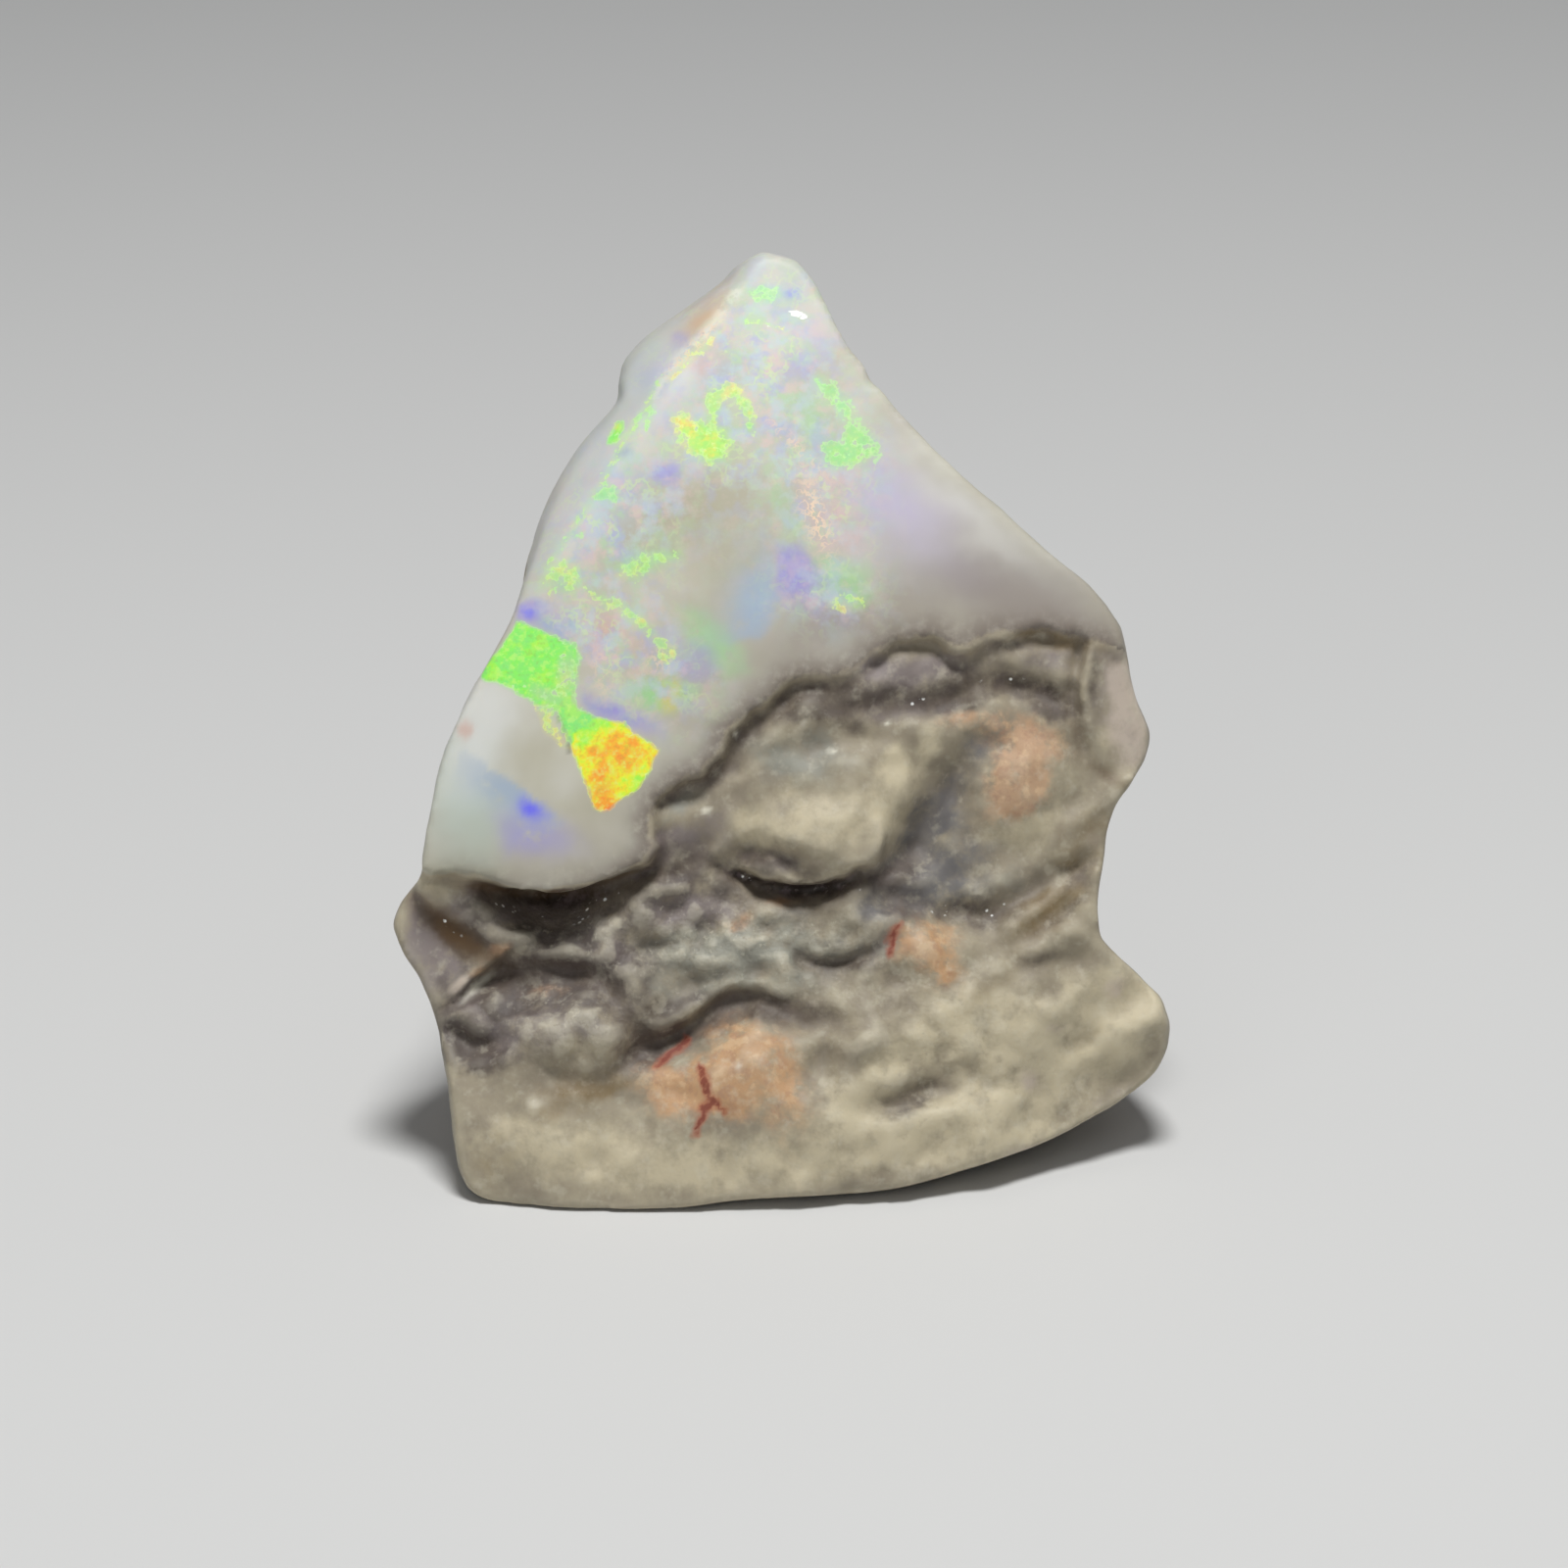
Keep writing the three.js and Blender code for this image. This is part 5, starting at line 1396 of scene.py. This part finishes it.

# %% [markdown]
# ## Opal body
# The body of a light opal is milky, and drifts between grey, warm beige, sea green and lilac over a few
# millimetres. It is painted darker towards the brow as painted shade, and right by the brow the dark
# potch shows through from below. The soft panes of flash colour are coats over that, broken a little by
# noise.

# %% Opal body colour
opal = coat(linear(186, 182, 166), linear(200, 198, 184), between(0.35, 0.65, speckle(2.5, 3, 7)))
for name, colour in {
    "warm_body": linear(152, 144, 139), "olive_body": linear(174, 169, 145),
    "sea_body": linear(184, 200, 188), "lilac_body": linear(190, 182, 202),
    "sand_body": linear(210, 174, 128), "pale_body": linear(218, 218, 214),
}.items():
    opal = coat(opal, colour, mask(name))
murk = between(0.2, 0.6, speckle(0.3, 4, 8))
opal = coats(opal, {
    "shade_towards_brow": (linear(140, 129, 116), times(mask("shade_towards_brow"), 0.55)),
    "potch near the brow": (linear(118, 107, 98), times(mask("near_brow"), murk)),
})
for name, colour in {
    "leaf": linear(158, 206, 146), "sky": linear(156, 176, 200), "rose": linear(206, 176, 164),
    "violet": linear(156, 150, 208), "indigo": linear(112, 112, 240), "amber": linear(208, 196, 112),
}.items():
    opal = coat(opal, colour, times(mask(name), between(0.1, 0.5, speckle(0.5, 3, 9))))
print("body done, nodes", len(tree.nodes))

# %% [markdown]
# ## Veils and threads
# Between the strong patches lie grains too small or too deep to blaze. They show as a pastel bloom, and
# as thin bright threads along their edges. The bloom is four noises, one for each pastel. A thread is
# where a noise passes through its middle value, which gives thin winding lines without any drawing.

# %% Veils and threads
precious = mask("precious")
for colour, seed in (
    (linear(176, 212, 166), 31), (linear(172, 176, 218), 32), (linear(222, 194, 190), 33),
    (linear(190, 208, 214), 34),
):
    bloom = between(0.46, 0.64, speckle(0.6, 4, seed))
    opal = coat(opal, colour, times(precious, times(bloom, 0.7)))
on_ridge = times(mask("fold"), between(0.36, 0.56, speckle(0.4, 3, 38)))
fringe = times(threads(0.45, 35), between(0.46, 0.62, speckle(0.9, 2, 36)))
opal = coats(opal, {
    # The bevel is painted cooler and darker: partly its own tint, partly painted shade.
    "cooler tint and painted shade on the bevel": (linear(176, 176, 184), times(mask("bevel"), 0.35)),
    # A pale line along the top of the fold ridge: a painted highlight.
    "painted highlight on the fold": (linear(238, 240, 222), times(on_ridge, 0.45)),
    "green threads": (linear(206, 232, 160), times(times(precious, fringe), 0.5)),
    "rosy threads": (linear(238, 212, 182), times(mask("rose_threads"), times(threads(0.3, 37), 0.9))),
    "slit": (linear(124, 120, 102), times(mask("slit"), 0.7)),
})

# %% [markdown]
# ## Fire
# The edge of a patch breaks up into lace, and the lace is brightest along its own rim. A solid patch
# fills in between the rims, and a lacy one lets the body show through. Adding noise to the fire mask
# and cutting it at one level gives both, and a colour ramp turns the warmth of a place into green,
# yellow or orange.

# %% Lace
edge_noise = calculate("SUBTRACT", speckle(0.24, 3, 11), 0.5)
lace = calculate("MULTIPLY_ADD", edge_noise, 1.5, mask("fire"))
cover = between(0.43, 0.56, lace)
rim = between(0.1, 0.02, calculate("ABSOLUTE", calculate("SUBTRACT", lace, 0.54)))
filled = between(0.55, 0.85, mask("fire"))
print("lace done, nodes", len(tree.nodes))

# %% Fire colours
ramp = tree.nodes.new("ShaderNodeValToRGB")
ramp.color_ramp.elements[0].color = (*linear(140, 236, 122), 1)
ramp.color_ramp.elements[1].color = (*linear(252, 112, 44), 1)
for position, colour in (
    (0.2, linear(140, 244, 96)), (0.38, linear(180, 246, 66)), (0.54, linear(240, 240, 40)),
    (0.72, linear(255, 180, 36)),
):
    ramp.color_ramp.elements.new(position).color = (*colour, 1)
flicker = calculate("SUBTRACT", speckle(0.3, 2, 13), 0.5)
tree.links.new(calculate("MULTIPLY_ADD", flicker, 0.8, mask("warm")), ramp.inputs["Fac"])
fire_colour = ramp.outputs["Color"]
print("fire colours", len(ramp.color_ramp.elements))

# %% Lay the fire over the body
flakes = speckle(0.17, 2, 12)
yellower = between(0.48, 0.62, speckle(0.5, 3, 15))
burning = coats(fire_colour, {
    "yellow drift": (linear(214, 250, 70), times(yellower, 0.34)),
    "bright flakes": (linear(222, 254, 130), times(between(0.5, 0.66, flakes), 0.4)),
    "dull flakes": (linear(150, 160, 60), times(between(0.44, 0.32, flakes), 0.2)),
})
pale_rim = coat(fire_colour, linear(236, 250, 200), 0.62)
opal = coats(opal, {
    "halo": (fire_colour, times(between(0.2, 0.6, mask("fire")), 0.22)),
    "fire": (burning, times(cover, calculate("MULTIPLY_ADD", filled, 0.62, 0.33))),
    "lace rim": (pale_rim, times(rim, calculate("MULTIPLY_ADD", filled, 0.4, 0.32))),
})
print("fire done, nodes", len(tree.nodes))

# %% [markdown]
# ## Put the finish together
# Opal goes over potch where the ground mask says, with fine grit along the seam. A few glints are
# painted in as white specks, mostly in the grooves, and a painted highlight sits near the top. Both
# materials are waxy, and the ground face is a little glossier. A little light enters the stone and comes
# out beside where it went in, which softens the small shadows. The bump is for what is finer than the
# mesh: a sugary tooth on the potch, and almost nothing on the ground face.

# %% Opal over potch
ground_mask = between(0.3, 0.7, calculate("MULTIPLY_ADD", fine_grit, 0.8, mask("ground")))
glint_distance, glint_cell = cells(0.16)
glint = times(between(0.42, 0.25, glint_distance), between(0.5, 0.6, glint_cell))
# The painted highlight near the top, with a ragged edge.
top_highlight_edge = calculate("MULTIPLY_ADD", fine_grit, 0.6, mask("top_highlight"))
colour = coats(potch, {
    "opal": (opal, ground_mask),
    "glints": (linear(245, 245, 240), times(glint, between(0.3, 0.6, mask("sparkle")))),
    "top_highlight": (linear(246, 250, 244), between(0.4, 0.55, top_highlight_edge)),
})
tree.links.new(colour, shader.inputs["Base Color"])
print("colour done, nodes", len(tree.nodes))

# %% Gloss, glow and tooth
GLOW_DEPTH = 0.3 * MM
TOOTH_HEIGHT = 0.16 * MM
waxy = calculate("MULTIPLY_ADD", mottle, 0.2, 0.5)
gloss = calculate("MULTIPLY_ADD", mask("ground_smooth"), -0.1, waxy)
tree.links.new(gloss, shader.inputs["Roughness"])
shader.inputs["IOR"].default_value = 1.45
shader.inputs["Subsurface Weight"].default_value = 0.4
shader.inputs["Subsurface Scale"].default_value = GLOW_DEPTH
shader.inputs["Subsurface Radius"].default_value = (1.0, 0.9, 0.75)
relief = calculate("MULTIPLY_ADD", speckle(0.35, 2, 4), 0.9, times(grit, 0.3))
bump = tree.nodes.new("ShaderNodeBump")
bump.inputs["Distance"].default_value = TOOTH_HEIGHT
tree.links.new(relief, bump.inputs["Height"])
tooth = calculate("MULTIPLY_ADD", mask("ground_smooth"), -0.35, times(grainy, 0.6))
tooth = times(tooth, calculate("MULTIPLY_ADD", mask("clean"), -0.7, 1))
tree.links.new(tooth, bump.inputs["Strength"])
tree.links.new(bump.outputs["Normal"], shader.inputs["Normal"])
print("finish done, nodes", len(tree.nodes), "links", len(tree.links))

# %% [markdown]
# ## Back to life size
# The carving was done with a millimetre as the unit, and the frame is in metres, so the stone is scaled
# back here. It then takes the place of the CAD solid and rides on the one body that there is.

# %% Back to life size
set_points(stone.data, points * MM)
for polygon in stone.data.polygons:
    polygon.use_smooth = True
stone.data.materials.clear()
stone.data.materials.append(finish)
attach(stone, "root")
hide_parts("opal_rub")
print("stone", (np.ptp(points, axis=0)).round(2), "mm")

# %% [markdown]
# ## Floor and light
# A stone this small is shown under one soft lamp, high up and a little in front, so that the ledges
# cast short shadows downwards. A weak second lamp in front and a pale surround keep the grooves from
# going black. The floor is a plain pale sheet.

# %% Floor
bpy.ops.mesh.primitive_plane_add(size=2)
floor = bpy.context.object
floor.name = "floor"
floor_paint = bpy.data.materials.new("pale_floor")
floor_paint.use_nodes = True
sheet = floor_paint.node_tree.nodes["Principled BSDF"]
sheet.inputs["Base Color"].default_value = (0.62, 0.62, 0.61, 1)
sheet.inputs["Roughness"].default_value = 0.7
floor.data.materials.append(floor_paint)
print("floor", tuple(floor.dimensions), "m")


# %% Lamps
def soft_light(name, place, size, power):
    """A round lamp that looks at the middle of the stone."""
    light = bpy.data.lights.new(name, "AREA")
    light.shape = "DISK"
    light.size = size
    light.energy = power
    lamp = bpy.data.objects.new(name, light)
    lamp.location = place
    lamp.rotation_euler = (Vector((0, 0, 0.012)) - Vector(place)).to_track_quat("-Z", "Y").to_euler()
    bpy.context.scene.collection.objects.link(lamp)
    print(name, "lamp", power, "W")


soft_light("key", (0.015, -0.035, 0.26), 0.08, 0.62)
soft_light("fill", (-0.12, -0.3, 0.12), 0.2, 0.12)
world = bpy.data.worlds.new("studio")
bpy.context.scene.world = world
world.use_nodes = True
world.node_tree.nodes["Background"].inputs["Color"].default_value = (0.8, 0.82, 0.85, 1)
world.node_tree.nodes["Background"].inputs["Strength"].default_value = 0.22
bpy.context.scene.view_settings.view_transform = "Standard"
print("surround", world.node_tree.nodes["Background"].inputs["Strength"].default_value)

# %% [markdown]
# ## Camera
# A long lens keeps the small stone free of perspective. The camera looks down at the same angle as the
# broad face leans back, so it sees the face square-on. Its distance follows from how many millimetres
# the view should take in. It aims a little below the middle of the stone, which leaves more room under
# it.

# %% Camera
camera = bpy.data.cameras.new("camera")
camera.lens = 135
camera.sensor_width = 36
camera.clip_start = 0.01
eye = bpy.data.objects.new("camera", camera)
bpy.context.scene.collection.objects.link(eye)
WIDTH_IN_VIEW = 44.44  # mm, at the stone
AIM_DOWN = 1.46
middle = Vector(from_face(np.array([[0.07, 13.54, -3.0]]))[0]) * MM
distance = camera.lens / camera.sensor_width * WIDTH_IN_VIEW * MM
towards = Vector((0, -math.cos(LEAN), math.sin(LEAN)))
up = Vector((0, math.sin(LEAN), math.cos(LEAN)))
eye.location = middle - up * AIM_DOWN * MM + towards * distance
eye.rotation_euler = (-towards).to_track_quat("-Z", "Y").to_euler()
bpy.context.scene.camera = eye
print("camera", round(distance, 3), "m away")
